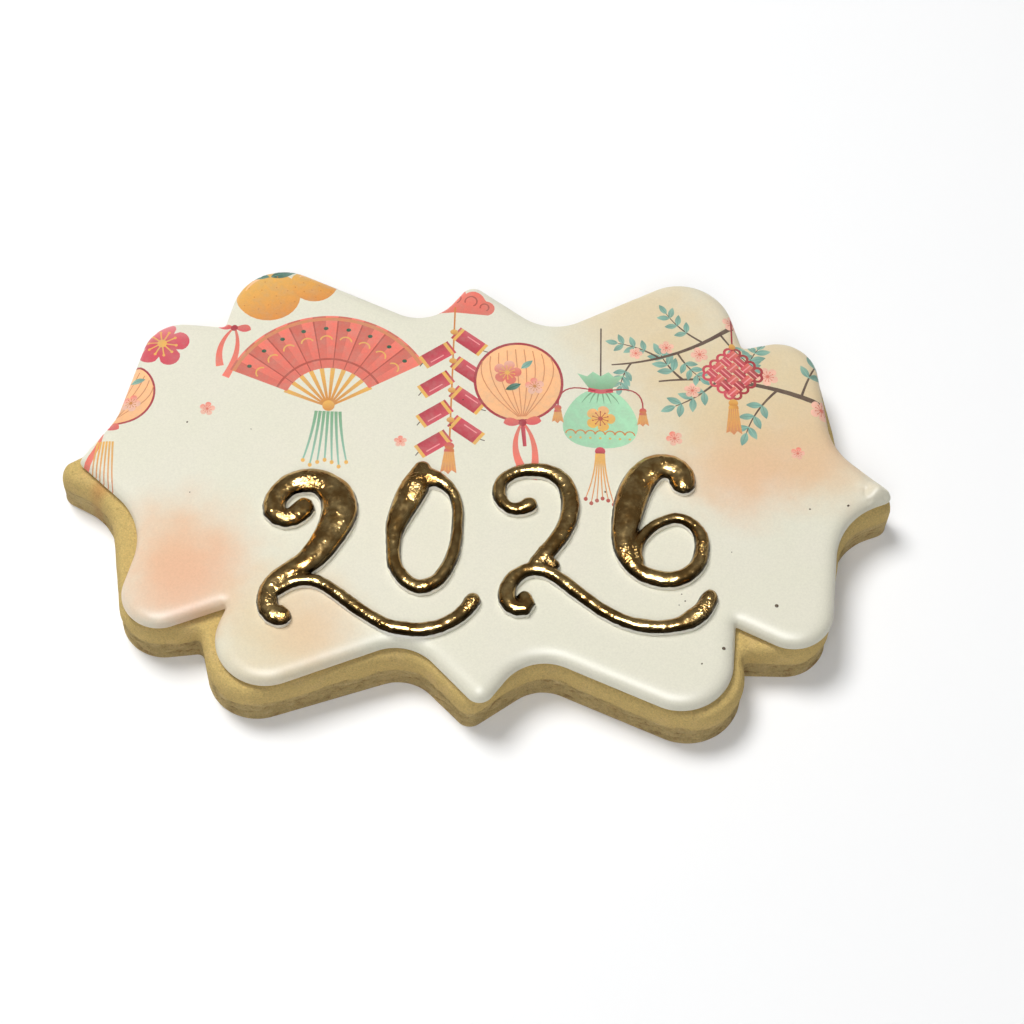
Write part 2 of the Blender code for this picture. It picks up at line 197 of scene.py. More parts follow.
# Specks baked or dried into the icing: x, y, radius
SPECKS = [
    (36.3, -27.0, 0.26),
    (44.2, -19.8, 0.29),
    (55.5, -2.5, 0.22),
    (49.7, -3.4, 0.17),
    (-44.3, 7.5, 0.13),
    (19.0, -1.8, 0.17),
    (30.3, -18.5, 0.11),
    (30.8, -19.6, 0.11),
    (29.9, -20.3, 0.10),
    (33.1, -29.6, 0.12),
    (-42.8, -4.6, 0.10),
    (-34.6, 6.7, 0.08),
    (37.8, -11.2, 0.08),
    (-2.8, 13.4, 0.13),
    (-4.6, 8.8, 0.12),
]
SPECK_LIFT = 0.01
SPECK_FLATNESS = 0.35
SPECK_SEED = 7

# Crumpled places of the piping: x, y, reach
CRUMPLED_PATCHES = [
    (-24.8, -3.0, 2.6),
    (-28.3, -8.4, 1.8),
    (-28.9, -22.6, 1.9),
    (-27.0, -25.8, 1.6),
    (-0.7, -21.8, 2.0),
    (-8.3, -3.4, 3.2),
    (-5.0, -4.0, 1.8),
    (8.2, -13.0, 1.5),
    (10.8, -14.8, 1.5),
    (26.3, -0.8, 2.4),
    (31.0, -2.2, 1.6),
    (22.6, -13.0, 2.4),
    (33.2, -11.5, 1.8),
    (34.2, -21.0, 3.2),
]
# The numerals' mesh, and how far their foot sinks and spreads where it meets the icing
NUMERAL_VOXEL = 0.13
NUMERAL_SMOOTHING = 26
NUMERAL_SINK = 0.45
NUMERAL_FLARE = 0.22

# Inks that are a lighter or darker tone of another
INK_TONES = {
    "coral_light": ("coral", 1.22),
    "coral_shade": ("coral", 0.84),
    "peach_light": ("peach", 1.16),
    "mint_light": ("mint", 1.18),
    "blush_light": ("blush", 1.12),
    "mandarin_shade": ("amber_dark", 1.15),
}

# The lamps: name, place and width in metres, the setting of its power, and the light that it is left out of
LAMPS = [
    ("key_lamp", (-0.04, -0.46, 0.65), 0.44, "key_power", "visible_glossy"),
    ("sheen_lamp", (-0.04, -0.29, 0.75), 0.46, "sheen_power", "visible_diffuse"),
    ("side_lamp", (-0.26, 0.25, 0.74), 0.34, "side_power", "visible_glossy"),
]
SKY_COLOUR = (0.96, 0.98, 1.0, 1.0)
FLOOR_HALF = 3.0

# The photograph's view: where the camera looks, from what angle, how far off, and its focal length
VIEW_TARGET = Vector((5.38, -0.04, 0.0)) * MM
VIEW_ELEVATION = math.radians(61.0)
VIEW_AZIMUTH = math.radians(-2.372)
VIEW_ROLL = math.radians(4.301)
VIEW_DISTANCE = 0.360
VIEW_FOCAL = 82.27

# One printed area: its outline, its ink, and a second ink that it fades to between two points
Area = namedtuple("Area", "outline ink second start end")


def linear(red, green, blue):
    """Scene-linear colour of display values from 0 to 255."""
    shares = [value / 255 for value in (red, green, blue)]
    return tuple(s / 12.92 if s <= 0.04045 else ((s + 0.055) / 1.055) ** 2.4 for s in shares)


def colour_property(name, description, red, green, blue):
    """A colour setting with its default in display values."""
    return FloatVectorProperty(
        name=name,
        description=description,
        subtype="COLOR",
        size=3,
        min=0.0,
        max=1.0,
        default=linear(red, green, blue),
    )


def length_property(name, description, millimetres):
    """A length setting with its default in millimetres."""
    default = millimetres * MM
    return FloatProperty(name=name, description=description, unit="LENGTH", default=default, precision=5)


def number_property(name, description, default):
    """A plain number's setting."""
    return FloatProperty(name=name, description=description, default=default)


class DoughSettings(bpy.types.PropertyGroup):
    """Sizes and colours of the baked dough."""

    crust: colour_property("Crust", "Colour of the smooth baked top", 206, 178, 110)
    crumb: colour_property("Crumb", "Colour of the torn lower wall", 196, 171, 114)
    # Painted shade: this colour darkens the hollows between the crumbs and the small pits of the dough's
    # relief
    crevice_shade: colour_property("Crevice", "Colour deep between crumbs", 152, 118, 68)
    toasted: colour_property("Toasted", "Colour of the toasted patches", 216, 186, 128)
    # Painted highlight: this colour lightens the crumbs that stand out of the torn wall
    crumb_highlight: colour_property("Pale crumb", "Colour of the crumbs that stand out", 226, 203, 150)
    stain: colour_property("Stain", "Colour of the browned spot at the left tip", 190, 118, 62)
    crumb_size: length_property("Crumb size", "Size of the wall's coarse crumb", 1.1)
    crumb_depth: length_property("Crumb depth", "How deep the wall's crumb is torn", 0.75)
    tear_height: length_property("Tear height", "Height at which the smooth crust gives way to crumb", 4.5)
    grain_depth: length_property("Grain depth", "Depth of the fine grain all over the dough", 0.07)


class IcingSettings(bpy.types.PropertyGroup):
    """Sizes and colours of the flooded icing and its print."""

    cream: colour_property("Cream", "Colour of the plain icing", 229, 226, 206)
    pale_cream: colour_property("Pale cream", "Colour of the icing's paler clouds", 231, 226, 209)
    roughness: number_property("Roughness", "Roughness of the dried icing", 0.45)
    grain: number_property("Print grain", "Strength of the print's fine grain", 0.05)
    coral: colour_property("Coral", "Main ink of the fan", 222, 112, 96)
    coral_dark: colour_property("Dark coral", "Fold lines of the fan", 181, 78, 66)
    rose: colour_property("Rose", "Ink of the red ornaments", 210, 76, 92)
    rose_dark: colour_property("Dark rose", "Shaded parts of the red ornaments", 168, 46, 60)
    rose_light: colour_property("Light rose", "Light lines on the red ornaments", 236, 150, 152)
    peach: colour_property("Peach", "Ink of the round fan", 243, 184, 132)
    peach_dark: colour_property("Dark peach", "Lines of the round fan", 214, 136, 92)
    amber: colour_property("Amber", "Ink of the caps and threads", 232, 178, 88)
    amber_dark: colour_property("Dark amber", "Shaded amber", 205, 128, 56)
    mint: colour_property("Mint", "Ink of the pouch", 160, 208, 170)
    mint_dark: colour_property("Dark mint", "Shaded parts and threads", 122, 168, 128)
    fir: colour_property("Fir", "Dark green bands and dots", 36, 86, 62)
    leaf: colour_property("Leaf", "Ink of the leaves", 146, 190, 172)
    leaf_dark: colour_property("Dark leaf", "Shaded leaves", 104, 150, 138)
    twig: colour_property("Twig", "Ink of the twigs", 92, 72, 64)
    blush: colour_property("Blush", "Ink of the pale blossoms", 240, 186, 164)
    peach_wash: colour_property("Peach wash", "Airbrushed peach", 235, 184, 142)
    rose_wash: colour_property("Rose wash", "Airbrushed rose", 236, 182, 150)
    beige_wash: colour_property("Beige wash", "Airbrushed beige", 226, 202, 158)
    speck: colour_property("Speck", "Colour of the specks", 92, 74, 50)


class NumeralSettings(bpy.types.PropertyGroup):
    """Sizes and colours of the piped gold numerals."""

    gold: colour_property("Gold", "Colour of the gold lustre", 222, 188, 126)
    gold_deep: colour_property("Deep gold", "Darker blotches of the lustre", 184, 141, 80)
    bare: colour_property("Bare icing", "Colour of the icing under the gold", 243, 240, 230)
    roughness: number_property("Roughness", "Roughness of the gold", 0.17)
    wrinkle_size: length_property("Wrinkle size", "Size of the lustre's wrinkles", 0.55)
    wrinkle_height: length_property("Wrinkle height", "Height of the lustre's wrinkles", 0.045)
    bubble_size: length_property("Bubble size", "Spacing of the piping's small bubbles", 1.2)
    bubble_height: length_property("Bubble height", "Height of the piping's small bubbles", 0.05)
    bare_rim: length_property("Bare rim", "Height of unpainted icing under the gold", 0.45)


class StudioSettings(bpy.types.PropertyGroup):
    """The pale floor and the lamps."""

    floor: colour_property("Floor", "Colour of the floor", 251, 251, 251)
    floor_glow: number_property("Floor glow", "Light that the floor gives of itself", 0.035)
    key_power: number_property("Key power", "Strength of the lamp over the reader", 1.6)
    sheen_power: number_property("Sheen power", "Strength of the lamp seen in reflections", 15.5)
    side_power: number_property("Side power", "Strength of the lamp that throws the shadow", 5.25)
    sky: number_property("Sky", "Strength of the even light from all round", 0.15)


class BiscuitSettings(bpy.types.PropertyGroup):
    """All settings of the iced biscuit."""

    dough: PointerProperty(type=DoughSettings)
    icing: PointerProperty(type=IcingSettings)
    numerals: PointerProperty(type=NumeralSettings)
    studio: PointerProperty(type=StudioSettings)


# Outlines


def compass(angle):
    """The level direction at an angle in radians."""
    return Vector((math.cos(angle), math.sin(angle)))


def belt(bends, step):
    """Points and outward normals, about a step apart, of the anticlockwise line that wraps the bends."""
    count = len(bends)
    headings = []
    for i, here in enumerate(bends):
        there = bends[(i + 1) % count]
        reach = math.hypot(there.x - here.x, there.y - here.y)
        bearing = math.atan2(there.y - here.y, there.x - here.x)
        headings.append(bearing + math.asin((here.turn * here.radius - there.turn * there.radius) / reach))
    points, normals = [], []
    for i, bend in enumerate(bends):
        start = headings[i - 1] - math.pi / 2
        swing = (headings[i] - headings[i - 1] + math.pi) % math.tau - math.pi
        steps = max(3, math.ceil(abs(swing) * bend.radius / step))
        for k in range(steps + 1):
            normal = compass(start + swing * k / steps)
            point = Vector((bend.x, bend.y)) + normal * (bend.turn * bend.radius)
            if points:
                fill_straight(points, normals, point, normal, step)
            points.append(point)
            normals.append(normal)
    fill_straight(points, normals, points[0], normals[0], step)
    return points, normals


def fill_straight(points, normals, end, normal, step):
    """Adds points on the straight run from the last point to end."""
    start = points[-1]
    steps = math.ceil((end - start).length / step)
    for k in range(1, steps):
        points.append(start.lerp(end, k / steps))
        normals.append(normal)


class Rim:
    """A closed outline that can say how far inside it a point lies."""

    def __init__(self, bends, step):
        self.points, self.normals = belt(bends, step)
        self.half_step = step / 2
        self.tree = KDTree(len(self.points))
        for i, point in enumerate(self.points):
            self.tree.insert((point.x, point.y, 0.0), i)
        self.tree.balance()

    def nearest(self, spot):
        """The outline's nearest point and its outward normal."""
        _, index, _ = self.tree.find((spot.x, spot.y, 0.0))
        return self.points[index], self.normals[index]

    def depth(self, spot):
        """Distance from the outline, positive inside it."""
        point, normal = self.nearest(spot)
        offset = spot - point
        along = min(self.half_step, abs(offset.dot(Vector((-normal.y, normal.x)))))
        distance = math.sqrt(max(0.0, offset.length_squared - along**2))
        return distance if offset.dot(normal) <= 0.0 else -distance


def hexagon_grid(spacing, half_length, half_width):
    """Points of an even triangular grid that covers a rectangle round the origin."""
    row_step = spacing * math.sqrt(0.75)
    rows = math.ceil(half_width / row_step)
    columns = math.ceil(half_length / spacing)
    for row in range(-rows, rows + 1):
        for column in range(-columns, columns + 1):
            yield Vector(((column + 0.5 * (row % 2)) * spacing, row * row_step))


# Meshes


def bridge(bm, lower, upper):
    """Quads between two loops of equal length."""
    count = len(lower)
    for i in range(count):
        j = (i + 1) % count
        bm.faces.new((lower[i], lower[j], upper[j], upper[i]))


def object_from(bm, name):
    """A linked object from a bmesh."""
    mesh = bpy.data.meshes.new(name)
    bm.to_mesh(mesh)
    bm.free()
    mesh.shade_smooth()
    made = bpy.data.objects.new(name, mesh)
    bpy.context.scene.collection.objects.link(made)
    return made


# Node trees


def opaque(colour):
    """A colour with full alpha. A socket stays as it is."""
    return colour if isinstance(colour, bpy.types.NodeSocket) else (*colour, 1.0)


class Net:
    """One node tree, with short ways to add nodes and to set or wire their inputs."""

    def __init__(self, tree):
        self.tree = tree

    def fill(self, node, inputs):
        """Sets each input to its value, or wires it where the value is a socket."""
        for key, value in inputs.items():
            if isinstance(value, bpy.types.NodeSocket):
                self.tree.links.new(value, node.inputs[key])
            else:
                node.inputs[key].default_value = value

    def add(self, kind, inputs=None, **settings):
        """A new node's outputs, its settings made and its inputs filled."""
        made = self.tree.nodes.new(kind)
        for name, value in settings.items():
            setattr(made, name, value)
        self.fill(made, inputs or {})
        return made.outputs

    def math(self, operation, first, second=0.0, third=0.0):
        """A Math node's result."""
        return self.add("ShaderNodeMath", {0: first, 1: second, 2: third}, operation=operation)[0]

    def plus(self, first, second):
        """The sum of two values."""
        return self.math("ADD", first, second)

    def minus(self, first, second):
        """The first value less the second."""
        return self.math("SUBTRACT", first, second)

    def times(self, first, second):
        """The product of two values."""
        return self.math("MULTIPLY", first, second)

    def fit(self, value, factor, offset):
        """A value times a factor, plus an offset."""
        return self.math("MULTIPLY_ADD", value, factor, offset)

    def inverse(self, value):
        """One over a value: the scale of a texture whose forms have that size."""
        return self.math("DIVIDE", 1.0, value)

    def ramp(self, value, low, high, bottom=0.0, top=1.0):
        """A value brought smoothly from the range low..high to bottom..top."""
        inputs = {"Value": value, "From Min": low, "From Max": high, "To Min": bottom, "To Max": top}
        return self.add("ShaderNodeMapRange", inputs, interpolation_type="SMOOTHSTEP")[0]

    def noise(self, place, scale, detail=2.0, roughness=0.5):
        """A noise texture's value at a place, from 0 to 1."""
        inputs = {"Vector": place, "Scale": scale, "Detail": detail, "Roughness": roughness}
        return self.add("ShaderNodeTexNoise", inputs)[0]

    def mix(self, share, first, second):
        """The first colour turned to the second by a share from 0 to 1."""
        return self.add("ShaderNodeMix", {0: share, 6: opaque(first), 7: opaque(second)}, data_type="RGBA")[2]

    def along(self, vector, axis):
        """A vector's part along an axis."""
        return self.add("ShaderNodeSeparateXYZ", {0: vector})[axis]

    def vector(self, operation, first, second):
        """A Vector Math node's vector."""
        return self.add("ShaderNodeVectorMath", {0: first, 1: second}, operation=operation)[0]

    def scaled(self, vector, factor):
        """A vector or a colour times a number."""
        return self.add("ShaderNodeVectorMath", {0: vector, "Scale": factor}, operation="SCALE")[0]

    def distance(self, first, second):
        """The distance between two places."""
        return self.add("ShaderNodeVectorMath", {0: first, 1: second}, operation="DISTANCE")["Value"]


def new_group(name, kind, inputs, outputs):
    """The net of a new node group, the outputs of its input node, and its output node."""
    tree = bpy.data.node_groups.new(name, kind)
    for socket_name, socket_kind, default in inputs:
        socket = tree.interface.new_socket(socket_name, in_out="INPUT", socket_type=socket_kind)
        if default is not None:
            socket.default_value = default
    for socket_name, socket_kind in outputs:
        tree.interface.new_socket(socket_name, in_out="OUTPUT", socket_type=socket_kind)
    return Net(tree), tree.nodes.new("NodeGroupInput").outputs, tree.nodes.new("NodeGroupOutput")


def geometry_group(name, values):
    """The same for a Geometry Nodes tree that takes a geometry and named values, and gives a geometry."""
    sockets = [("Geometry", "NodeSocketGeometry", None)]
    for key, value in values.items():
        sockets.append((key, "NodeSocketInt" if isinstance(value, int) else "NodeSocketFloat", value))
    net, given, result = new_group(name, "GeometryNodeTree", sockets, [("Geometry", "NodeSocketGeometry")])
    net.tree.is_modifier = True
    return net, given, result


def end_geometry(net, result, geometry, material):
    """Ends a tree: instances made real, millimetres turned to metres, and the material set."""
    real = net.add("GeometryNodeRealizeInstances", {"Geometry": geometry})[0]
    sized = net.add("GeometryNodeTransform", {"Geometry": real, "Scale": (MM, MM, MM)})[0]
    smooth = net.add("GeometryNodeSetShadeSmooth", {"Geometry": sized})[0]
    coated = net.add("GeometryNodeSetMaterial", {"Geometry": smooth, "Material": material})[0]
    net.fill(result, {0: coated})
    return net.tree


def apply_tree(made, tree, values):
    """Runs a tree on an object with its inputs set by name, and keeps the mesh that comes out."""
    modifier = made.modifiers.new(tree.name, "NODES")
    modifier.node_group = tree
    for item in tree.interface.items_tree:
        if item.item_type == "SOCKET" and item.in_out == "INPUT" and item.name in values:
            modifier[item.identifier] = values[item.name]
    graph = bpy.context.evaluated_depsgraph_get()
    final = bpy.data.meshes.new_from_object(made.evaluated_get(graph), depsgraph=graph)
    made.modifiers.clear()
    old = made.data
    made.data = final
    bpy.data.meshes.remove(old)


# Shader groups shared by the materials


def fine_grain_group():
    """Even fine grain: a height, and a tone round 1 that lightens and darkens a colour."""
    if "fine_grain" in bpy.data.node_groups:
        return bpy.data.node_groups["fine_grain"]
    inputs = [
        ("Vector", "NodeSocketVector", None),
        ("Size", "NodeSocketFloat", 0.2 * MM),
        ("Strength", "NodeSocketFloat", 0.1),
    ]
    outputs = [("Tone", "NodeSocketFloat"), ("Height", "NodeSocketFloat")]
    net, given, result = new_group("fine_grain", "ShaderNodeTree", inputs, outputs)
    grain = net.noise(given["Vector"], net.inverse(given["Size"]), 3.0, 0.6)
    tone = net.fit(net.minus(grain, 0.5), net.times(given["Strength"], 4.0), 1.0)
    net.fill(result, {"Tone": tone, "Height": grain})
    return net.tree


def soft_wash_group():
    """The mask of a round airbrushed patch with a cloudy edge."""
    if "soft_wash" in bpy.data.node_groups:
        return bpy.data.node_groups["soft_wash"]
    inputs = [
        ("Vector", "NodeSocketVector", None),
        ("Centre", "NodeSocketVector", (0.0, 0.0, 0.0)),
        ("Radius", "NodeSocketFloat", 10.0 * MM),
        ("Strength", "NodeSocketFloat", 0.5),
    ]
    net, given, result = new_group("soft_wash", "ShaderNodeTree", inputs, [("Mask", "NodeSocketFloat")])
    away = net.distance(net.vector("MULTIPLY", given["Vector"], LEVEL), given["Centre"])
    cloud = net.minus(net.noise(given["Vector"], 190.0, 3.0, 0.6), 0.5)
    share = net.fit(cloud, 0.6, net.math("DIVIDE", away, given["Radius"]))
    net.fill(result, {"Mask": net.times(net.ramp(share, 1.25, 0.1), given["Strength"])})
    return net.tree


def new_material(name):
    """A material, the net of its tree, its shader and the Object coordinates in it."""
    material = bpy.data.materials.new(name)
    material.use_nodes = True
    net = Net(material.node_tree)
    return material, net, net.tree.nodes["Principled BSDF"], net.add("ShaderNodeTexCoord")["Object"]


def grain_at(net, place, size, strength):
    """The outputs of the fine grain, its size in millimetres."""
    inputs = {"Vector": place, "Size": size * MM, "Strength": strength}
    return net.add("ShaderNodeGroup", inputs, node_tree=fine_grain_group())


def wash_at(net, place, x, y, radius, strength):
    """The mask of a soft wash, its place and radius in millimetres."""
    inputs = {"Vector": place, "Centre": (x * MM, y * MM, 0.0), "Radius": radius * MM, "Strength": strength}
    return net.add("ShaderNodeGroup", inputs, node_tree=soft_wash_group())["Mask"]


def relief(net, height, depth, strength):
    """The normal of a surface with a relief that is so many millimetres deep."""
    return net.add("ShaderNodeBump", {"Height": height, "Distance": depth * MM, "Strength": strength})[0]


def dough_material(settings):
    """Baked dough: smooth golden crust above, paler torn crumb below, painted shade in its crevices and pits,
    and painted highlight on its raised crumbs.
    """
    material, net, shader, place = new_material("baked_dough")
    line = net.fit(net.noise(place, 160.0), 1.6 * MM, settings.tear_height - 0.8 * MM)
    crusty = net.ramp(net.minus(net.along(place, "Z"), line), -0.5 * MM, 0.6 * MM)
    torn = net.minus(1.0, crusty)
    patches = net.noise(place, 260.0, 3.0, 0.55)
    layered = net.vector("MULTIPLY", place, CRUMB_LAYERS)
    chunks = net.noise(layered, 1 / settings.crumb_size, 4.0, 0.65)
    pits = net.noise(place, 1500.0, 4.0, 0.7)
    grain = grain_at(net, place, 0.25, 0.20)
    body = net.mix(crusty, settings.crumb, settings.crust)
    body = net.mix(net.ramp(patches, 0.5, 0.85, 0.0, 0.55), body, settings.toasted)
    # Painted shade: the crumb's hollows take the crevice colour, following the torn relief
    body = net.mix(net.times(net.ramp(chunks, 0.50, 0.30, 0.0, 0.8), torn), body, settings.crevice_shade)
    # Painted highlight: the crumb's raised parts take this paler colour
    body = net.mix(net.times(net.ramp(chunks, 0.52, 0.75, 0.0, 0.5), torn), body, settings.crumb_highlight)
    # Painted shade: the small pits of the relief take the crevice colour
    body = net.mix(net.ramp(pits, 0.46, 0.28, 0.0, 0.40), body, settings.crevice_shade)
    body = net.scaled(body, grain["Tone"])
    body = net.mix(wash_at(net, place, *DOUGH_STAIN), body, settings.stain)
    rough = net.times(net.noise(layered, 1800.0, 4.0, 0.7), net.ramp(crusty, 1.0, 0.0, 0.3, 2.2))
    height = net.plus(net.fit(pits, 0.5, grain["Height"]), rough)
    net.fill(shader, {"Base Color": body, "Normal": relief(net, height, 0.22, 0.9)})
    net.fill(shader, {"Roughness": 0.88, "Specular IOR Level": 0.25})
    return material


def icing_material(settings):
    """Flooded icing: cream, airbrushed patches, the print from the mesh's own colours, and a fine grain."""
    material, net, shader, place = new_material("icing")
    cloud = net.ramp(net.noise(place, 120.0, 3.0), 0.3, 0.7, 0.0, 0.5)
    body = net.mix(cloud, settings.cream, settings.pale_cream)
    for x, y, radius, name, strength in WASHES:
        body = net.mix(wash_at(net, place, x, y, radius, strength), body, getattr(settings, name))
    ink = net.add("ShaderNodeAttribute", attribute_name="print")
    blotch = net.noise(place, 700.0, 4.0, 0.65)
    cover = net.times(ink["Alpha"], net.ramp(blotch, 0.25, 0.62, 0.87, 0.97))
    body = net.mix(cover, body, net.scaled(ink["Color"], net.ramp(blotch, 0.3, 0.7, 0.94, 1.06)))
    grain = grain_at(net, place, 0.28, settings.grain)
    body = net.scaled(body, grain["Tone"])
    net.fill(shader, {"Base Color": body, "Normal": relief(net, grain["Height"], 0.010, 0.6)})
    net.fill(shader, {"Roughness": settings.roughness, "Specular IOR Level": 0.38})
    return material


def crumpled_at(net, place, unit):
    """How crumpled the piping is at a place, from 0 to 1, with places measured in the given unit."""
    flat = net.vector("MULTIPLY", place, LEVEL)
    mask = 0.0
    for x, y, reach in CRUMPLED_PATCHES:
        away = net.distance(flat, (x * unit, y * unit, 0.0))
        mask = net.math("MAXIMUM", mask, net.ramp(away, reach * unit, 0.5 * reach * unit))
    return mask


def gold_material(settings):
    """Gold lustre on piped icing, with a rim of bare icing where it meets the flooded top, and painted shade
    that darkens the gold towards its foot.
    """
    material, net, shader, place = new_material("gold")
    near_side = net.add("ShaderNodeAttribute", attribute_name="near_side")["Fac"]
    bare = net.fit(near_side, settings.bare_rim, (NUMERAL_FOOT - 0.2) * MM)
    line = net.fit(net.noise(place, 900.0), 0.25 * MM, bare)
    above = net.minus(net.along(place, "Z"), line)
    painted = net.ramp(above, -0.03 * MM, 0.03 * MM)
    blotch = net.noise(place, 450.0, 3.0, 0.6)
    lustre = net.mix(net.ramp(blotch, 0.35, 0.65), settings.gold_deep, settings.gold)
    # Painted shade: the gold darkens towards its foot, down to 3 percent of its colour just above the paint
    # line
    lustre = net.scaled(lustre, net.ramp(above, 0.40 * MM, 1.45 * MM, 0.03, 1.0))
    worn = net.ramp(blotch, 0.3, 0.75, settings.roughness, settings.roughness + 0.10)
    dull = net.fit(painted, net.minus(worn, 0.5), 0.5)
    sparkle = net.ramp(net.noise(place, 220.0), 0.42, 0.62, 0.06, 0.3)
    crumpled = net.plus(crumpled_at(net, place, MM), sparkle)
    creases = net.times(grain_at(net, place, 0.40, 0.3)["Height"], crumpled)
    net.fill(shader, {"Base Color": net.mix(painted, settings.bare, lustre), "Metallic": painted})
    net.fill(shader, {"Roughness": dull, "Normal": relief(net, creases, 0.16, 0.9)})
    return material


def speck_material(colour):
    """One dull colour, mottled between full and a darker tone."""
    material, net, shader, place = new_material("speck")
    body = net.mix(net.noise(place, 2500.0), [0.7 * part for part in colour], colour)
    net.fill(shader, {"Base Color": body, "Roughness": 0.6})
    return material


# The dough


def dough_levels():
    """(height, inset) of the loops of the dough's side, from its foot to the rim of its top."""
    levels = list(DOUGH_FOOT)
    foot_top = DOUGH_FOOT[-1][0]
    for k in range(1, DOUGH_SIDE_STEPS):
        levels.append((foot_top + (DOUGH_SIDE_TOP - foot_top) * k / DOUGH_SIDE_STEPS, 0.0))
    for k in range(DOUGH_SHOULDER_STEPS + 1):
        angle = math.pi / 2 * k / DOUGH_SHOULDER_STEPS
        rise = math.sin(angle) ** DOUGH_SHOULDER_RISE
        inset = DOUGH_SHOULDER_REACH * (1.0 - math.cos(angle) ** DOUGH_SHOULDER_TURN)
        levels.append((DOUGH_SIDE_TOP + (DOUGH_TOP - DOUGH_SIDE_TOP) * rise, inset))
    return levels + [(DOUGH_TOP, inset) for inset in DOUGH_RIM_INSETS]


def dough_blank():
    """The smooth slab of dough, meshed finely where it isn't under the icing."""
    rim = Rim(DOUGH_BENDS, WALL_STEP)
    icing = Rim(ICING_BENDS, WALL_STEP)
    bm = bmesh.new()
    loops = []
    for height, inset in dough_levels():
        spots = [point - normal * inset for point, normal in zip(rim.points, rim.normals)]
        loops.append([bm.verts.new((spot.x, spot.y, height)) for spot in spots])
    for lower, upper in zip(loops, loops[1:]):
        bridge(bm, lower, upper)
    bm.faces.new(loops[0][::-1])
    edge = [vert.co.xy for vert in loops[-1]]
    inner = []
    for spot in hexagon_grid(BARE_DOUGH_GRID, *DOUGH_HALVES):
        if rim.depth(spot) > DOUGH_RIM_INSETS[-1] + WALL_STEP and icing.depth(spot) < BARE_DOUGH_MARGIN:
            inner.append(spot)
    flat, _, triangles, origins, _, _ = delaunay_2d_cdt(edge + inner, [], [list(range(len(edge)))], 1, MERGE)
    top = []
    for spot, origin in zip(flat, origins):
        on_edge = [k for k in origin if k < len(edge)]
        top.append(loops[-1][on_edge[0]] if on_edge else bm.verts.new((spot.x, spot.y, DOUGH_TOP)))
    for triangle in triangles:
        bm.faces.new([top[k] for k in triangle])
    bmesh.ops.recalc_face_normals(bm, faces=bm.faces)
    return object_from(bm, "baked_dough")


def crumb_tree(values, material):
    """Tears the dough's lower wall into crumb below a wandering line, and gives all of it a fine grain."""
    net, given, result = geometry_group("crumb_relief", values)
    place = net.add("GeometryNodeInputPosition")[0]
    height = net.along(place, "Z")
    wander = net.fit(net.noise(place, 0.16, 1.0), 2.4, -1.2)
    ragged = net.fit(net.noise(place, 0.8), 1.0, -0.5)
    line = net.plus(given["Tear Height"], net.plus(wander, ragged))
    sideways = net.math("ABSOLUTE", net.along(place, "X"))
    torn = net.times(net.ramp(net.minus(height, line), 0.10, -0.12), net.ramp(sideways, 60.0, 52.0))
    layered = net.vector("MULTIPLY", place, CRUMB_LAYERS)
    crumb = net.noise(layered, net.inverse(given["Crumb Size"]), 4.0, 0.65)
    tear = net.times(net.times(torn, net.ramp(crumb, 0.62, 0.32, 0.15, 1.0)), given["Crumb Depth"])
    grain = net.times(net.noise(place, 1.6, 3.0, 0.6), given["Grain Depth"])
    waves = net.times(net.noise(place, 0.22, 1.0), 0.22)
    off_floor = net.ramp(height, 0.05, 0.9)
    cut = net.times(net.plus(tear, net.plus(grain, waves)), net.times(off_floor, -1.0))
    offset = net.scaled(net.add("GeometryNodeInputNormal")[0], cut)
    moved = net.add("GeometryNodeSetPosition", {"Geometry": given[0], "Offset": offset})[0]
    return end_geometry(net, result, moved, material)


class BISCUIT_OT_bake_dough(bpy.types.Operator):
    """Build the slab of baked dough in place of its plain solid"""

    bl_idname = "biscuit.bake_dough"
    bl_label = "Bake dough"

    def execute(self, context):
        settings = context.scene.iced_biscuit.dough
        dough = dough_blank()
        values = {
            "Crumb Size": settings.crumb_size / MM,
            "Crumb Depth": settings.crumb_depth / MM,
            "Tear Height": settings.tear_height / MM,
            "Grain Depth": settings.grain_depth / MM,
        }
        apply_tree(dough, crumb_tree(values, dough_material(settings)), values)
        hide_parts("biscuit")
        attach(dough, "root")
        return {"FINISHED"}


# Printed motifs, each drawn round the origin in millimetres and then put in its place


def ring(x, y, across, along, count):
    """An ellipse's outline."""
    points = []
    for k in range(count):
        angle = math.tau * k / count
        points.append(Vector((across * math.cos(angle), along * math.sin(angle))) + Vector((x, y)))
    return points


def stripe(path, widths):
    """The outline of a brush stroke along a path, with its width at each point, or one width."""
    path = [Vector(point) for point in path]
    if not isinstance(widths, list):
        widths = [widths] * len(path)
    left, right = [], []
    for i, point in enumerate(path):
        heading = (path[min(i + 1, len(path) - 1)] - path[max(i - 1, 0)]).normalized()
        across = Vector((-heading.y, heading.x)) * widths[i] / 2
        left.append(point + across)
        right.append(point - across)
    return right + left[::-1]


def curve(start, middle, end, count=10):
    """Points on a smooth curve that leaves start towards middle and ends at end."""
    start, middle, end = Vector(start), Vector(middle), Vector(end)
    shares = [k / (count - 1) for k in range(count)]
    return [start * (1 - t) ** 2 + middle * 2 * t * (1 - t) + end * t**2 for t in shares]


def arc(x, y, radius, start, end, count):
    """Points on an arc between two angles in degrees."""
    angles = [math.radians(start + (end - start) * k / (count - 1)) for k in range(count)]
    return [Vector((x + radius * math.cos(a), y + radius * math.sin(a))) for a in angles]


def paint(outline, ink, second=None, start=(0.0, 0.0), end=(0.0, 1.0)):
    """One area of ink, fading to a second ink from start to end where one is given."""
    return Area([Vector(point) for point in outline], ink, second, Vector(start), Vector(end))


def stroke(path, widths, ink, *fade):
    """One brush stroke of ink."""
    return paint(stripe(path, widths), ink, *fade)


def oval(x, y, across, along, count, ink, *fade):
    """One ellipse of ink."""
    return paint(ring(x, y, across, along, count), ink, *fade)


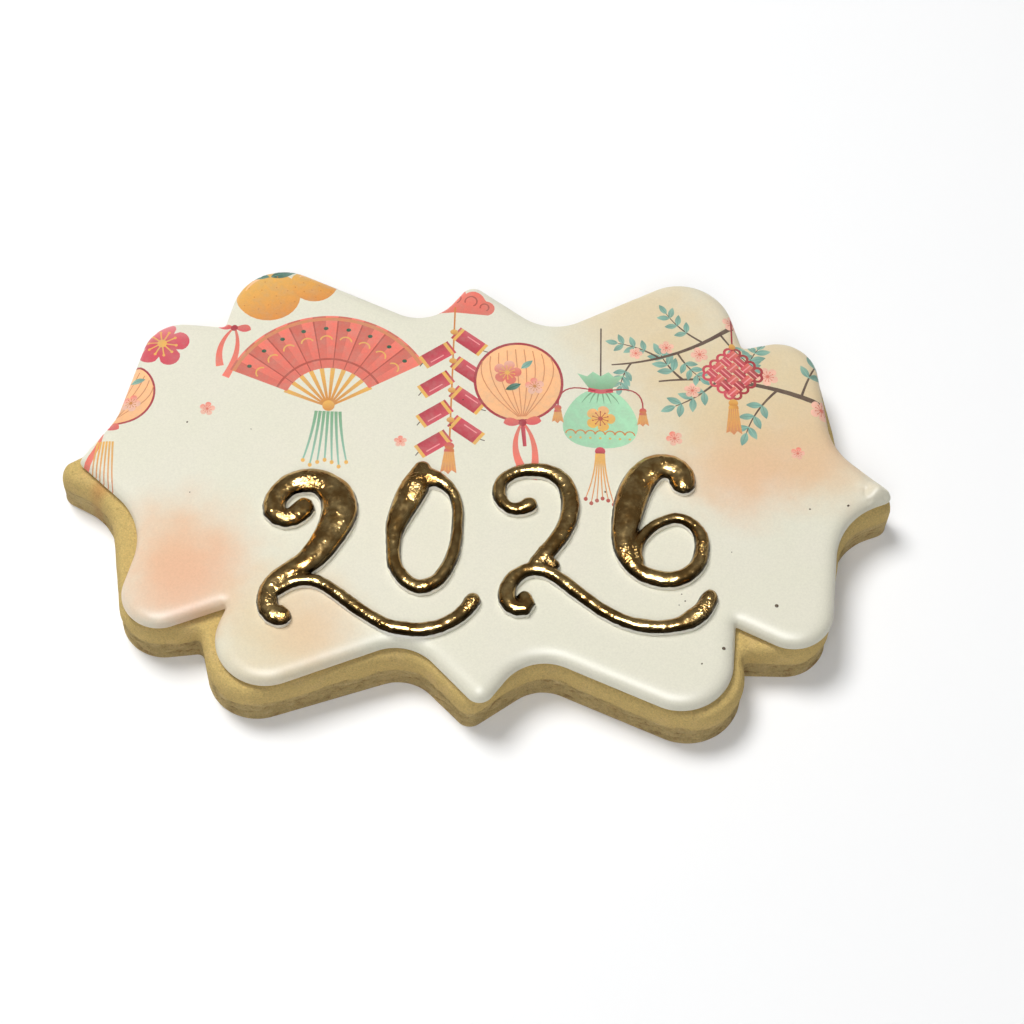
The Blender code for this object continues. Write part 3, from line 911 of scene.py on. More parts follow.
def put(areas, x, y, turn=0.0, size=1.0, flip=1.0):
    """Areas flipped if flip is -1, turned by degrees, sized and moved to their place."""
    move = Matrix.Rotation(math.radians(turn), 2) @ Matrix(((size, 0.0), (0.0, size * flip)))
    shift = Vector((x, y))
    for area in areas:
        outline = [move @ point + shift for point in area.outline]
        start = move @ area.start + shift
        yield Area(outline, area.ink, area.second, start, move @ area.end + shift)


def threads(count, width, length, spread, ink, second, thickness, tip=None):
    """Loose threads that hang from the origin and spread, with a bead at each end if tip names an ink."""
    widths = [thickness * (1.0 - 0.5 * t / 9) for t in range(10)]
    for k in range(count):
        share = k / (count - 1) - 0.5
        reach = length * (1.0 - 0.12 * abs(math.sin(2.3 * k + 1.0)))
        path = curve((width * share, 0.0), (width * share * 1.2, -length * 0.45), (spread * share, -reach))
        yield stroke(path, widths, ink, second, (0, 0), (0, -length))
        if tip:
            yield oval(spread * share, -reach - 0.2, 0.32, 0.36, 8, tip)


def tassel(length, ink, second, cap):
    """A knotted tassel that hangs from the origin: a bead, a skirt of threads and a cap."""
    skirt = [(-0.7, -1.1), (0.7, -1.1), (1.25, -length), (0.5, -length + 0.5), (0.0, -length - 0.2)]
    skirt += [(-0.6, -length + 0.4), (-1.2, -length + 0.1)]
    collar = [(-0.8, -1.5), (0.8, -1.5), (0.7, -0.95), (-0.7, -0.95)]
    yield oval(0.0, -0.5, 0.75, 0.7, 14, cap, "amber_dark", (0, 0.2), (0, -1.2))
    yield paint(skirt, ink, second, (0, -1.0), (0, -length))
    yield from put(threads(5, 1.1, length - 1.3, 2.1, second, ink, 0.16), 0.0, -1.2)
    yield paint(collar, cap, "amber_dark", (-1, 0), (1, 0))


def blossom(radius, ink, second, heart):
    """A five-petalled blossom with a heart and stamens."""
    outline = []
    for k in range(50):
        angle = math.tau * k / 50
        lobe = 0.58 + 0.42 * abs(math.cos(2.5 * angle)) ** 0.55
        outline.append(compass(angle) * radius * lobe)
    yield paint(outline, ink, second, (0, 0), (0, radius))
    for k in range(10):
        tip = compass(math.tau * (k + 0.5) / 10) * radius * 0.52
        yield stroke([tip * 0.25, tip], radius * 0.05, heart)
        yield oval(tip.x, tip.y, radius * 0.06, radius * 0.06, 6, heart)
    yield oval(0, 0, radius * 0.17, radius * 0.17, 10, heart)


def leaf(length, width, ink, second):
    """A pointed leaf along +X with its midrib."""
    upper = curve((0, 0), (length * 0.42, width), (length, 0), 9)
    lower = curve((length, 0), (length * 0.42, -width), (0, 0), 9)
    yield paint(upper[:-1] + lower[:-1], ink, second, (0, 0), (length, 0))
    yield stroke([(0, 0), (length * 0.8, 0)], [0.16, 0.06], second)


def folding_fan(radius, spread, folds):
    """An open folding fan, its pivot at the origin: sticks, a pleated leaf and a dotted border."""
    inner = radius * 0.42
    first = 90.0 - spread / 2
    last = first + spread
    for k in range(folds + 1):
        tip = compass(math.radians(first + spread * k / folds))
        stick = [tip * 0.4, tip * (inner + 0.4)]
        yield stroke(stick, [0.3, 0.75], "amber_dark", "amber", (0, 0), tip * inner)
    for k in range(2 * folds):
        start = first + spread * k / (2 * folds)
        end = first + spread * (k + 1) / (2 * folds)
        pleat = arc(0, 0, radius, start, end, 5) + arc(0, 0, inner, end, start, 3)
        heading = compass(math.radians((start + end) / 2))
        second = "coral_shade" if k % 2 else "coral_light"
        yield paint(pleat, "coral", second, heading * inner, heading * radius)
        if k % 2 == 0 and k:
            edge = compass(math.radians(start))
            yield stroke([edge * inner, edge * radius * 0.985], [0.14, 0.26], "coral_dark")
    yield stroke(arc(0, 0, radius * 0.965, first, last, 36), 0.55, "peach_dark")
    yield stroke(arc(0, 0, radius * 0.52, first, last, 30), 0.34, "coral_dark")
    arch = [stroke(arc(0, 0, 0.95, 15, 165, 8), 0.22, "amber")]
    for k in range(folds):
        angle = math.radians(first + spread * (k + 0.5) / folds)
        outer = compass(angle) * radius * 0.86
        middle = compass(angle) * radius * 0.72
        yield oval(outer.x, outer.y, 0.38, 0.32, 10, "fir")
        yield from put(arch, middle.x, middle.y, math.degrees(angle) - 90)
    yield oval(0, 0.2, 0.95, 0.95, 16, "amber", "amber_dark", (0, 1), (0, -1))


def firecracker(length, half):
    """One red paper tube along +X, with banded ends and a light line."""

    def band(left, right):
        """The corners of a stretch of the tube."""
        return [(left, -half), (right, -half), (right, half), (left, half)]

    yield paint(band(0, length), "rose", "rose_dark", (0, half), (0, -half * 1.6))
    yield stroke([(0.35 * length, half * 0.45), (0.8 * length, half * 0.45)], 0.2, "rose_light")
    for x in (0.06, 0.90):
        yield paint(band(x * length, (x + 0.1) * length), "amber")
    yield stroke([(length, 0), (length + 0.7, 0.25)], 0.16, "twig")


def firecracker_string(pairs, pitch):
    """Pairs of firecrackers down a cord that hangs from the origin, with a tassel below."""
    yield stroke([(0, 3.0), (0, -pairs * pitch)], 0.26, "amber_dark")
    tube = list(firecracker(5.4, 1.25))
    for k in range(pairs):
        y = -pitch * (k + 0.35)
        yield from put(tube, 0.25, y, -36.0)
        yield from put(tube, -0.25, y - 0.5 * pitch, 216.0)
        yield oval(0, y + 0.1, 0.62, 0.5, 10, "amber", "amber_dark", (0, y + 0.5), (0, y - 0.5))
    yield from put(tassel(5.2, "amber", "peach_dark", "rose"), 0.0, -pairs * pitch - 0.6)


def round_fan(radius, handle):
    """A round paper fan on a handle that points down, with ribs, a painted sprig and a bow."""
    stick = [(0, -radius + 0.5), (0, -radius - handle)]
    yield stroke(stick, [0.75, 0.55], "rose_dark", "rose", (-0.4, 0), (0.4, 0))
    yield oval(0, 0, radius, radius * 1.04, 48, "rose_dark")
    yield oval(0, 0, radius * 0.94, radius * 0.98, 48, "peach", "peach_light", (0, -radius), (0, radius))
    for k in range(-4, 5):
        sweep = radius * 0.2 * k
        top = (sweep * 0.95, radius * math.cos(0.2 * k) * 0.86)
        rib = curve((sweep * 0.1, -radius * 0.9), (sweep * 1.25, 0.0), top, 9)
        yield stroke(rib, 0.16, "peach_dark")
    yield from put(blossom(2.2, "coral", "blush", "amber"), -1.6, 1.8)
    yield from put(blossom(1.5, "blush", "coral_light", "amber_dark"), 2.4, -0.9, 20.0)
    yield from put(leaf(2.6, 1.1, "leaf_dark", "fir"), 0.3, -0.4, 200.0)
    yield from put(leaf(2.3, 1.0, "leaf", "leaf_dark"), 0.6, 2.4, 35.0)
    yield from put(ribbon_bow(), 0.0, -radius - 0.4)


def ribbon_bow():
    """A tied bow whose two tails hang down and wave."""
    widths = [0.35 + 0.09 * k for k in range(12)]
    for side in (-1, 1):
        loop = curve((0, 0), (side * 2.4, 2.0), (side * 2.9, 0.1), 8)
        loop += curve((side * 2.9, 0.1), (side * 1.8, -1.1), (0, 0), 7)[1:-1]
        tail = curve((side * 0.2, -0.2), (side * 2.4, -4.0), (side * 0.7, -9.0 - side), 12)
        yield paint(loop, "coral", "rose", (0, 1), (0, -1))
        yield stroke(tail, widths, "coral", "coral_light", (0, 0), (0, -9))
    yield oval(0, 0, 0.62, 0.66, 10, "rose_dark")


def scent_pouch():
    """A cloth pouch gathered by a drawstring, with an embroidered blossom and tassels on its string."""
    body = curve((-1.7, 3.6), (-4.4, 2.4), (-5.6, -1.4), 8)
    body += curve((-5.6, -1.4), (-6.6, -6.6), (0.0, -6.7), 12)[1:]
    body += curve((0.0, -6.7), (6.6, -6.6), (5.6, -1.4), 12)[1:]
    body += curve((5.6, -1.4), (4.4, 2.4), (1.7, 3.6), 8)[1:]
    frill = [(-1.6, 3.7), (1.6, 3.7), (3.6, 6.6), (2.1, 6.1), (1.2, 7.0)]
    frill += [(0.0, 6.2), (-1.2, 7.0), (-2.1, 6.1), (-3.6, 6.6)]
    yield stroke([(0, 15.0), (0, 5.6)], 0.24, "twig")
    yield paint(body, "mint", "mint_light", (-5.5, -2.0), (3.5, 2.0))
    for side in (-1, 1):
        for reach in (0.5, 1.5, 2.6):
            fold = curve((side * 0.4 * reach, 3.5), (side * 0.9 * reach, 2.4), (side * reach * 1.1, 1.3), 6)
            yield stroke(fold, [0.3, 0.26, 0.22, 0.18, 0.12, 0.06], "mint_dark")
    for k in range(7):
        x = -4.5 + 1.5 * k
        yield stroke(arc(x, -4.3, 0.75, 175, 5, 7), 0.2, "amber_dark")
        yield oval(x, -4.9, 0.2, 0.2, 8, "amber")
    yield from put(blossom(2.3, "amber", "peach", "coral_dark"), 0.0, -1.4)
    yield paint(frill, "mint", "mint_dark", (0, 6.6), (0, 3.8))
    yield stroke([(-1.9, 3.7), (0.0, 3.4), (1.9, 3.7)], 0.75, "rose")
    for side in (-1, 1):
        cord = curve((side * 0.8, 3.5), (side * 6.6, 5.2), (side * 6.5, 0.6))
        yield stroke(cord, 0.24, "rose_dark")
        yield from put(tassel(4.0, "amber", "peach_dark", "rose"), side * 6.5, 0.6, 0.0, 0.75)
    yield oval(0, -7.2, 0.8, 0.75, 12, "rose", "rose_dark", (0, -6.6), (0, -7.8))
    yield from put(threads(6, 1.2, 8.6, 4.2, "amber", "peach_dark", 0.3, "coral_dark"), 0.0, -7.6)


def woven_square(cells, pitch):
    """A square of crossing cords with looped edges."""
    half = cells * pitch / 2
    middles = [-half + pitch * (k + 0.5) for k in range(cells)]
    loop = pitch * 0.45
    for middle in middles:
        upper = arc(middle, half, loop, 200, -20, 9)
        yield stroke(upper, 0.42, "rose", "rose_dark", (0, half), (0, half + pitch))
        yield stroke(arc(middle, -half, loop, 160, 380, 9), 0.42, "rose_dark")
        yield stroke(arc(-half, middle, loop, 70, 290, 9), 0.42, "rose")
        yield stroke(arc(half, middle, loop, 110, -110, 9), 0.42, "rose_dark")
    for middle in middles:
        cord = [(middle, -half), (middle, half)]
        yield stroke(cord, pitch * 0.78, "rose", "rose_dark", (0, half), (0, -half))
        yield stroke(cord, pitch * 0.14, "rose_light")
    for k, level in enumerate(middles):
        for middle in middles[k % 2 :: 2]:
            cord = [(middle - pitch * 0.55, level), (middle + pitch * 0.55, level)]
            yield stroke(cord, pitch * 0.78, "rose", "coral", *cord)
            yield stroke(cord, pitch * 0.14, "rose_light")


def woven_knot(cells, pitch):
    """A flat knot of crossing cords set on its corner, with a tassel."""
    corner = cells * pitch / 2 * math.sqrt(2)
    yield from put(woven_square(cells, pitch), 0, 0, 45.0)
    yield stroke([(0, corner + 0.4), (0, corner + 6.0)], 0.28, "rose_dark")
    yield oval(0, corner + 0.6, 0.55, 0.55, 10, "amber", "amber_dark", (0, corner + 1), (0, corner))
    yield from put(tassel(6.0, "amber", "peach_dark", "amber"), 0.0, -corner - 0.4)


def mandarin(radius):
    """A round fruit with a gleam, pores and two leaves."""
    lit = (-radius * 0.3, radius * 0.6)
    dark = (radius * 0.4, -radius)
    gleam = arc(0, 0, radius * 0.74, 105, 165, 8)
    yield oval(0, 0, radius, radius * 0.92, 30, "amber", "mandarin_shade", lit, dark)
    yield stroke(gleam, [0.1, 0.3, 0.45, 0.5, 0.5, 0.45, 0.3, 0.1], "peach_light")
    yield from put(leaf(radius * 0.95, radius * 0.42, "fir", "leaf_dark"), 0.1, radius * 0.72, 28.0)
    yield from put(leaf(radius * 0.85, radius * 0.38, "leaf_dark", "fir"), -0.1, radius * 0.72, 160.0)
    for k in range(14):
        reach = radius * (0.25 + 0.047 * k)
        angle = math.radians(137.5 * k)
        yield oval(reach * math.cos(angle), reach * math.sin(angle), 0.13, 0.11, 6, "amber_dark")


def scroll_cloud():
    """A cloud of joined curls with a curl line in each."""
    outline = [(-1.9, -0.5), (1.9, -0.5)]
    outline += arc(1.7, 0.0, 0.52, -70, 95, 8)
    outline += arc(0.85, 0.45, 0.72, 20, 130, 8)
    outline += arc(-0.25, 0.75, 0.8, 45, 160, 8)
    outline += arc(-1.35, 0.2, 0.68, 80, 235, 10)
    yield paint(outline, "coral", "coral_light", (0, -0.5), (0, 1.4))
    for x, y, radius in ((1.6, 0.05, 0.26), (0.75, 0.4, 0.36), (-0.3, 0.65, 0.42), (-1.35, 0.2, 0.34)):
        yield stroke(arc(x, y, radius, 200, -60, 12), 0.09, "coral_dark")


def leafy_twig():
    """A long bare twig with side shoots, paired leaves and pale blossoms, from the origin towards -X."""
    main = curve((0, 0), (-13.0, 7.5), (-27.0, 6.0), 16)
    yield stroke(main, [0.95 - 0.045 * k for k in range(16)], "twig")
    shoots = [
        (3, (2.0, 5.0), (4.5, 8.0)),
        (5, (-4.0, -3.5), (-5.5, -7.5)),
        (8, (1.0, 3.5), (3.0, 6.0)),
        (10, (-3.0, -3.0), (-7.0, -4.5)),
        (13, (-2.0, 2.0), (-3.0, 4.5)),
    ]
    for index, middle, end in shoots:
        root = main[index]
        shoot = curve(root, root + Vector(middle), root + Vector(end), 9)
        yield stroke(shoot, [0.42 - 0.035 * k for k in range(9)], "twig")
        for k in (3, 5, 7, 8):
            heading = math.degrees(math.atan2(*(shoot[k] - shoot[k - 1]).yx))
            inks = ("leaf", "leaf_dark") if (index + k) % 3 else ("leaf_dark", "leaf")
            for side in (-1, 1) if k < 8 else (0,):
                yield from put(leaf(2.5, 1.15, *inks), shoot[k].x, shoot[k].y, heading + side * 52)
    flowers = [(2, 1.2, -1.5, 1.9), (6, 0.5, 1.9, 1.7), (9, 0.0, -1.8, 1.5), (12, -0.5, -2.0, 1.3)]
    for index, x, y, radius in flowers:
        spot = main[index] + Vector((x, y))
        yield from put(blossom(radius, "blush", "blush_light", "coral"), spot.x, spot.y, 31.0 * index)


def festive_print():
    """Every printed area, from the lowest layer to the topmost."""
    small = ("blush", "coral_light", "coral")
    rows = [
        (leafy_twig(), 54.5, 14.0, 4.0),
        (leafy_twig(), 40.5, 30.2, 12.0, 0.82, -1.0),
        (put(scroll_cloud(), 0, 0, 0.0, 2.6), -4.2, 30.6, -4.0),
        (put(scroll_cloud(), 0, 0, 0.0, 1.5), 9.8, 30.0, 3.0),
        (mandarin(5.0), -33.8, 31.0),
        (mandarin(3.6), -26.9, 33.6, -14.0),
        (ribbon_bow(), -38.6, 24.8, -8.0, 0.9),
        (blossom(4.2, "rose", "rose_light", "amber"), -49.4, 21.4, 12.0),
        (round_fan(5.4, 4.0), -55.0, 12.2, -22.0),
        (threads(6, 2.2, 8.0, 3.6, "amber", "peach_dark", 0.34), -56.2, 3.6),
        (folding_fan(16.5, 128.0, 9), -23.2, 11.2, 5.0),
        (threads(7, 3.6, 9.5, 6.5, "mint_dark", "leaf", 0.5, "amber"), -23.2, 10.4),
        (firecracker_string(4, 5.3), -4.6, 27.4),
        (round_fan(6.9, 4.6), 5.6, 17.0, 6.0),
        (scent_pouch(), 18.2, 12.4),
        (woven_knot(4, 1.55), 38.6, 20.0),
        (blossom(1.2, *small), -41.5, 10.0, 10.0),
        (blossom(1.3, *small), 29.5, 8.0, 40.0),
        (blossom(1.1, *small), 48.2, 6.2, 5.0),
        (blossom(1.0, *small), -12.0, 5.6, 20.0),
    ]
    for row in rows:
        yield from put(*row)


def ink_colour(settings, name):
    """An ink's colour: one of the settings, or a lighter or darker tone of one."""
    base, tone = INK_TONES.get(name, (name, 1.0))
    return Vector(getattr(settings, base)) * tone


def ink_at(settings, area, spot):
    """An area's colour at a spot."""
    colour = ink_colour(settings, area.ink)
    if area.second:
        run = area.end - area.start
        share = max(0.0, min(1.0, (spot - area.start).dot(run) / max(run.length_squared, 1e-9)))
        colour = colour.lerp(ink_colour(settings, area.second), share)
    return (*[min(1.0, value) for value in colour], 1.0)


# The icing


def icing_height(spot, depth):
    """Height of the icing's top at a spot that lies so deep inside its edge."""
    across = min(1.0, max(0.0, depth) / ICING_SHOULDER)
    shoulder = (1.0 - (1.0 - across) ** 2.4) ** (1.0 / 1.7)
    swell = ICING_SWELL * noise.noise(Vector((spot.x / 9.0, spot.y / 9.0, 3.0))) * across
    height = ICING_FOOT + ICING_LIP + (ICING_THICKNESS - ICING_LIP) * shoulder + swell
    for x, y, rise, reach in ICING_BUMPS:
        away = math.hypot(spot.x - x, spot.y - y) / reach
        height += rise * math.exp(-(away**2)) * math.sqrt(min(1.0, max(0.0, depth) / reach))
    return height


def counter_clockwise(outline):
    """The outline, turned round if it runs clockwise."""
    doubled = sum(a.x * b.y - b.x * a.y for a, b in zip(outline, outline[1:] + outline[:1]))
    return outline if doubled > 0.0 else outline[::-1]


def icing_fill(rim):
    """Points inside the icing's edge: rings along it, an even grid, and a finer one at the peak."""
    for inset in ICING_RINGS:
        for point, normal in zip(rim.points, rim.normals):
            spot = point - normal * inset
            # Left out where a hollow bend folds the ring back on itself
            if rim.depth(spot) > 0.9 * inset:
                yield spot
    for spot in hexagon_grid(ICING_GRID, *ICING_HALVES):
        if rim.depth(spot) > ICING_RINGS[-1] + 0.5:
            yield spot
    for spot in hexagon_grid(ICING_PEAK_GRID, *ICING_PEAK_HALVES):
        if rim.depth(spot + ICING_PEAK) > ICING_PEAK_GRID:
            yield spot + ICING_PEAK


def icing_mesh(settings):
    """The icing, its top cut along the print's outlines so that each printed area has faces of its own."""
    rim = Rim(ICING_BENDS, ICING_STEP)
    areas = list(festive_print())
    flat_points = list(rim.points)
    outlines = [list(range(len(flat_points)))]
    for area in areas:
        first = len(flat_points)
        flat_points.extend(counter_clockwise(area.outline))
        outlines.append(list(range(first, len(flat_points))))
    flat_points.extend(icing_fill(rim))
    flat, _, triangles, _, _, owners = delaunay_2d_cdt(flat_points, [], outlines, 1, MERGE)
    bm = bmesh.new()
    ink_of = bm.faces.layers.int.new("ink")
    top = [bm.verts.new((spot.x, spot.y, icing_height(spot, rim.depth(spot)))) for spot in flat]
    for triangle, owner in zip(triangles, owners):
        if 0 in owner:
            bm.faces.new([top[k] for k in triangle])[ink_of] = max(owner)
    bmesh.ops.delete(bm, geom=[vert for vert in bm.verts if not vert.link_faces], context="VERTS")
    roll_edge_under(bm, rim, ink_of)
    bmesh.ops.recalc_face_normals(bm, faces=bm.faces)
    colours = bm.loops.layers.float_color.new("print")
    bare = (*settings.cream, 0.0)
    for face in bm.faces:
        index = face[ink_of]
        for corner in face.loops:
            corner[colours] = ink_at(settings, areas[index - 1], corner.vert.co.xy) if index else bare
    return bm


def lip_reach(share):
    """How far the lip stands out from the top's edge after a share of its way down."""
    return ICING_LIP_BULGE * math.sin(math.pi * share) - ICING_LIP_UNDERCUT * share**3


def roll_edge_under(bm, rim, ink_of):
    """Carries the icing's edge round its lip and under to its flat foot."""
    edge = [e for e in bm.edges if e.is_boundary]
    for k in range(1, ICING_LIP_ROUNDS + 1):
        share = k / ICING_LIP_ROUNDS
        grown = bmesh.ops.extrude_edge_only(bm, edges=edge)["geom"]
        for face in (part for part in grown if isinstance(part, bmesh.types.BMFace)):
            above = [f for e in face.edges for f in e.link_faces if f is not face and f not in grown]
            face[ink_of] = above[0][ink_of] if above else 0
        for vert in (part for part in grown if isinstance(part, bmesh.types.BMVert)):
            _, normal = rim.nearest(vert.co.xy)
            vert.co.xy += normal * (lip_reach(share) - lip_reach(share - 1 / ICING_LIP_ROUNDS))
            vert.co.z = ICING_FOOT + ICING_LIP * (1.0 - share) - ICING_FOOT_SINK * share
        edge = [e for e in bm.edges if e.is_boundary]
    bmesh.ops.holes_fill(bm, edges=edge, sides=0)


class BISCUIT_OT_flood_icing(bpy.types.Operator):
    """Build the flooded icing with its print in place of its plain solid"""

    bl_idname = "biscuit.flood_icing"
    bl_label = "Flood icing"

    def execute(self, context):
        settings = context.scene.iced_biscuit.icing
        bm = icing_mesh(settings)
        bmesh.ops.scale(bm, vec=(MM, MM, MM), verts=bm.verts)
        icing = object_from(bm, "flooded_icing")
        icing.data.materials.append(icing_material(settings))
        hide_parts("icing")
        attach(icing, "root")
        return {"FINISHED"}


# Specks


def speck_tree(values, material):
    """Puts a small flat speck of the point's own radius on each point."""
    net, given, result = geometry_group("icing_specks", values)
    ball = net.add("GeometryNodeMeshIcoSphere", {"Radius": 1.0, "Subdivisions": 2})[0]
    radius = net.add("GeometryNodeInputNamedAttribute", {"Name": "speck_radius"}, data_type="FLOAT")[0]
    spread = {2: 0.75, 3: 1.3, "Seed": given["Seed"]}
    uneven = net.add("FunctionNodeRandomValue", spread, data_type="FLOAT")[1]
    turns = {0: (0.0, 0.0, 0.0), 1: (0.0, 0.0, math.tau), "Seed": given["Seed"]}
    turn = net.add("FunctionNodeRandomValue", turns, data_type="FLOAT_VECTOR")[0]
    sizes = {0: radius, 1: net.times(radius, uneven), 2: net.times(radius, given["Flatness"])}
    size = net.add("ShaderNodeCombineXYZ", sizes)[0]
    inputs = {"Points": given[0], "Instance": ball, "Rotation": turn, "Scale": size}
    specks = net.add("GeometryNodeInstanceOnPoints", inputs)[0]
    return end_geometry(net, result, specks, material)


class BISCUIT_OT_add_specks(bpy.types.Operator):
    """Scatter the small dark specks that dried into the icing"""

    bl_idname = "biscuit.add_specks"
    bl_label = "Add specks"

    def execute(self, context):
        settings = context.scene.iced_biscuit.icing
        rim = Rim(ICING_BENDS, ICING_STEP)
        bm = bmesh.new()
        for x, y, _ in SPECKS:
            height = icing_height(Vector((x, y)), rim.depth(Vector((x, y))))
            bm.verts.new((x, y, height + SPECK_LIFT))
        specks = object_from(bm, "icing_specks")
        sizes = specks.data.attributes.new("speck_radius", "FLOAT", "POINT")
        for item, (_, _, radius) in zip(sizes.data, SPECKS):
            item.value = radius
        values = {"Flatness": SPECK_FLATNESS, "Seed": SPECK_SEED}
        apply_tree(specks, speck_tree(values, speck_material(settings.speck)), values)
        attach(specks, "root")
        return {"FINISHED"}


# The numerals


def gold_tree(values, material):
    """Wrinkles and bubbles the surface of a piped numeral, and sets its foot into the icing."""
    net, given, result = geometry_group("piped_gold", values)
    place = net.add("GeometryNodeInputPosition")[0]
    normal = net.add("GeometryNodeInputNormal")[0]
    above = net.minus(net.along(place, "Z"), given["Foot"])
    wrinkle = net.noise(place, net.inverse(given["Wrinkle Size"]), 3.0, 0.55)
    ridges = net.times(net.math("ABSOLUTE", net.minus(wrinkle, 0.5)), -5.0)
    patch = net.ramp(net.noise(place, 0.22), 0.42, 0.62, 0.15, 0.7)
    patch = net.fit(crumpled_at(net, place, 1.0), 1.8, patch)
    wrinkles = net.times(net.times(ridges, given["Wrinkle Height"]), patch)
    cells = {"Vector": place, "Scale": net.inverse(given["Bubble Size"])}
    bubble = net.ramp(net.add("ShaderNodeTexVoronoi", cells)["Distance"], 0.30, 0.05)
    bubbles = net.times(bubble, given["Bubble Height"])
    uneven = net.fit(net.noise(place, 0.5, 1.0), 0.30, -0.15)
    surface = net.times(net.plus(net.plus(wrinkles, bubbles), uneven), net.ramp(above, 0.15, 0.6))
    low = net.ramp(above, 0.55, 0.0)
    outward = net.scaled(net.vector("MULTIPLY", normal, LEVEL), net.times(low, given["Flare"]))
    down = net.add("ShaderNodeCombineXYZ", {2: net.times(net.times(low, given["Sink"]), -1.0)})[0]
    offset = net.vector("ADD", net.vector("ADD", outward, down), net.scaled(normal, surface))
    toward = net.ramp(net.times(net.along(normal, "Y"), -1.0), -0.1, 0.6)
    inputs = {"Geometry": given[0], "Name": "near_side", "Value": toward}
    noted = net.add("GeometryNodeStoreNamedAttribute", inputs, data_type="FLOAT", domain="POINT")[0]
    moved = net.add("GeometryNodeSetPosition", {"Geometry": noted, "Offset": offset})[0]
    return end_geometry(net, result, moved, material)


def numeral_blank(node, name):
    """A merged copy of a numeral's solid, in millimetres, remeshed finely and smoothed."""
    bm = bmesh.new()
    bm.from_mesh(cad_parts[node].data)
    bmesh.ops.remove_doubles(bm, verts=bm.verts, dist=1e-7)
    bmesh.ops.scale(bm, vec=(1 / MM, 1 / MM, 1 / MM), verts=bm.verts)
    made = object_from(bm, name)
    fine = made.modifiers.new("fine", "REMESH")
    fine.mode = "VOXEL"
    fine.voxel_size = NUMERAL_VOXEL
    fine.use_smooth_shade = True
    soft = made.modifiers.new("soft", "SMOOTH")
    soft.factor = 0.5
    soft.iterations = NUMERAL_SMOOTHING
    return made


class BISCUIT_OT_pipe_numerals(bpy.types.Operator):
    """Build the wrinkled gold numerals in place of their plain solids"""

    bl_idname = "biscuit.pipe_numerals"
    bl_label = "Pipe numerals"

    def execute(self, context):
        settings = context.scene.iced_biscuit.numerals
        values = {
            "Wrinkle Size": settings.wrinkle_size / MM,
            "Wrinkle Height": settings.wrinkle_height / MM,
            "Bubble Size": settings.bubble_size / MM,
            "Bubble Height": settings.bubble_height / MM,
            "Foot": NUMERAL_FOOT,
            "Sink": NUMERAL_SINK,
            "Flare": NUMERAL_FLARE,
        }
        tree = gold_tree(values, gold_material(settings))
        for node in NUMERAL_NODES:
            numeral = numeral_blank(node, node.replace("numeral", "gold"))
            apply_tree(numeral, tree, values)
            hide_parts(node)
            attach(numeral, "root")
        return {"FINISHED"}


# The studio


def add_lamp(name, spot, size, power, unseen):
    """A round soft lamp that shines on the origin and is left out of one kind of light."""
    data = bpy.data.lights.new(name, "AREA")
    data.shape = "DISK"
    data.size = size
    data.energy = power
    lamp = bpy.data.objects.new(name, data)
    bpy.context.scene.collection.objects.link(lamp)
    lamp.location = spot
    lamp.rotation_euler = Vector(spot).to_track_quat("Z", "Y").to_euler()
    setattr(lamp, unseen, False)


class BISCUIT_OT_set_stage(bpy.types.Operator):
    """Add the pale floor, the lamps and the camera"""

    bl_idname = "biscuit.set_stage"
    bl_label = "Set stage"

    def execute(self, context):
        scene = context.scene
        settings = scene.iced_biscuit.studio
        bm = bmesh.new()
        bmesh.ops.create_grid(bm, x_segments=4, y_segments=4, size=FLOOR_HALF)
        floor = object_from(bm, "floor")
        material, net, shader, _ = new_material("floor")
        net.fill(shader, {"Base Color": opaque(settings.floor), "Roughness": 0.9})
        net.fill(shader, {"Emission Color": (1.0, 1.0, 1.0, 1.0), "Emission Strength": settings.floor_glow})
        floor.data.materials.append(material)
        for name, spot, size, power, unseen in LAMPS:
            add_lamp(name, spot, size, getattr(settings, power), unseen)
        world = bpy.data.worlds.new("studio")
        world.use_nodes = True
        sky = world.node_tree.nodes["Background"]
        Net(world.node_tree).fill(sky, {"Color": SKY_COLOUR, "Strength": settings.sky})
        scene.world = world
        scene.view_settings.view_transform = "Standard"
        scene.camera = photograph_camera()
        return {"FINISHED"}


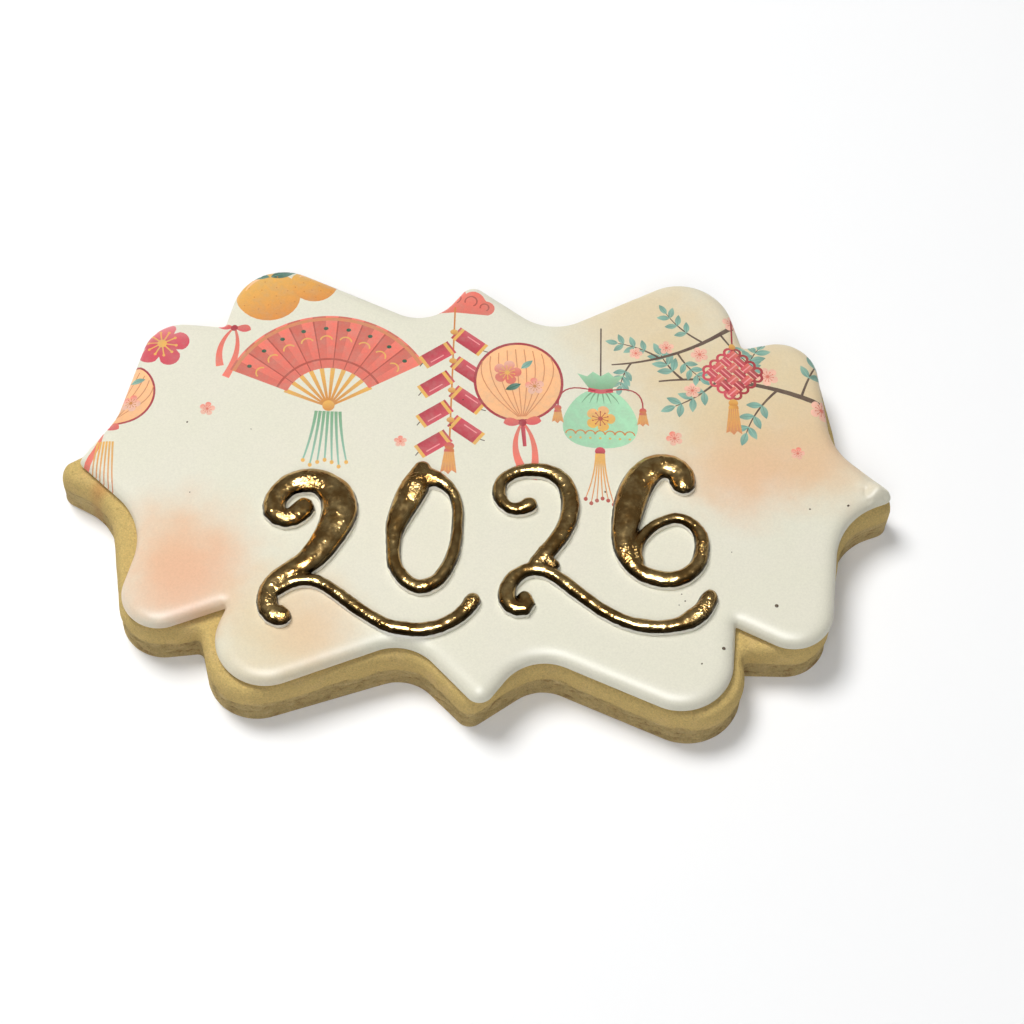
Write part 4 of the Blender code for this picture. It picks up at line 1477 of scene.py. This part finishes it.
def photograph_camera():
    """The camera at the photograph's viewing angle."""
    sideways = Vector((math.cos(VIEW_AZIMUTH), math.sin(VIEW_AZIMUTH), 0.0))
    level = math.cos(VIEW_ELEVATION)
    back = Vector((math.sin(VIEW_AZIMUTH) * level, -math.cos(VIEW_AZIMUTH) * level, math.sin(VIEW_ELEVATION)))
    upward = back.cross(sideways)
    right = sideways * math.cos(VIEW_ROLL) + upward * math.sin(VIEW_ROLL)
    top = upward * math.cos(VIEW_ROLL) - sideways * math.sin(VIEW_ROLL)
    data = bpy.data.cameras.new("photograph_view")
    data.lens = VIEW_FOCAL
    data.sensor_width = 36.0
    camera = bpy.data.objects.new("photograph_view", data)
    bpy.context.scene.collection.objects.link(camera)
    turned = Matrix((right, top, back)).transposed().to_4x4()
    camera.matrix_world = Matrix.Translation(VIEW_TARGET + back * VIEW_DISTANCE) @ turned
    return camera


class BISCUIT_PT_panel(bpy.types.Panel):
    """Lists the steps that build the biscuit"""

    bl_idname = "BISCUIT_PT_panel"
    bl_label = "Iced plaque biscuit"
    bl_space_type = "VIEW_3D"
    bl_region_type = "UI"
    bl_category = "Biscuit"

    def draw(self, context):
        settings = context.scene.iced_biscuit
        for operator in OPERATORS:
            self.layout.operator(operator.bl_idname)
        for group in (settings.dough, settings.icing, settings.numerals, settings.studio):
            box = self.layout.box()
            for name in group.bl_rna.properties.keys():
                if name not in ("rna_type", "name"):
                    box.prop(group, name)


SETTINGS = (DoughSettings, IcingSettings, NumeralSettings, StudioSettings, BiscuitSettings)
OPERATORS = (
    BISCUIT_OT_bake_dough,
    BISCUIT_OT_flood_icing,
    BISCUIT_OT_add_specks,
    BISCUIT_OT_pipe_numerals,
    BISCUIT_OT_set_stage,
)


def register():
    for item in (*SETTINGS, *OPERATORS, BISCUIT_PT_panel):
        bpy.utils.register_class(item)
    bpy.types.Scene.iced_biscuit = PointerProperty(type=BiscuitSettings)


def unregister():
    del bpy.types.Scene.iced_biscuit
    for item in reversed((*SETTINGS, *OPERATORS, BISCUIT_PT_panel)):
        bpy.utils.unregister_class(item)


def main():
    """Builds every piece."""
    register()
    bpy.ops.biscuit.bake_dough()
    bpy.ops.biscuit.flood_icing()
    bpy.ops.biscuit.add_specks()
    bpy.ops.biscuit.pipe_numerals()
    bpy.ops.biscuit.set_stage()
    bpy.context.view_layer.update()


if __name__ == "__main__":
    main()
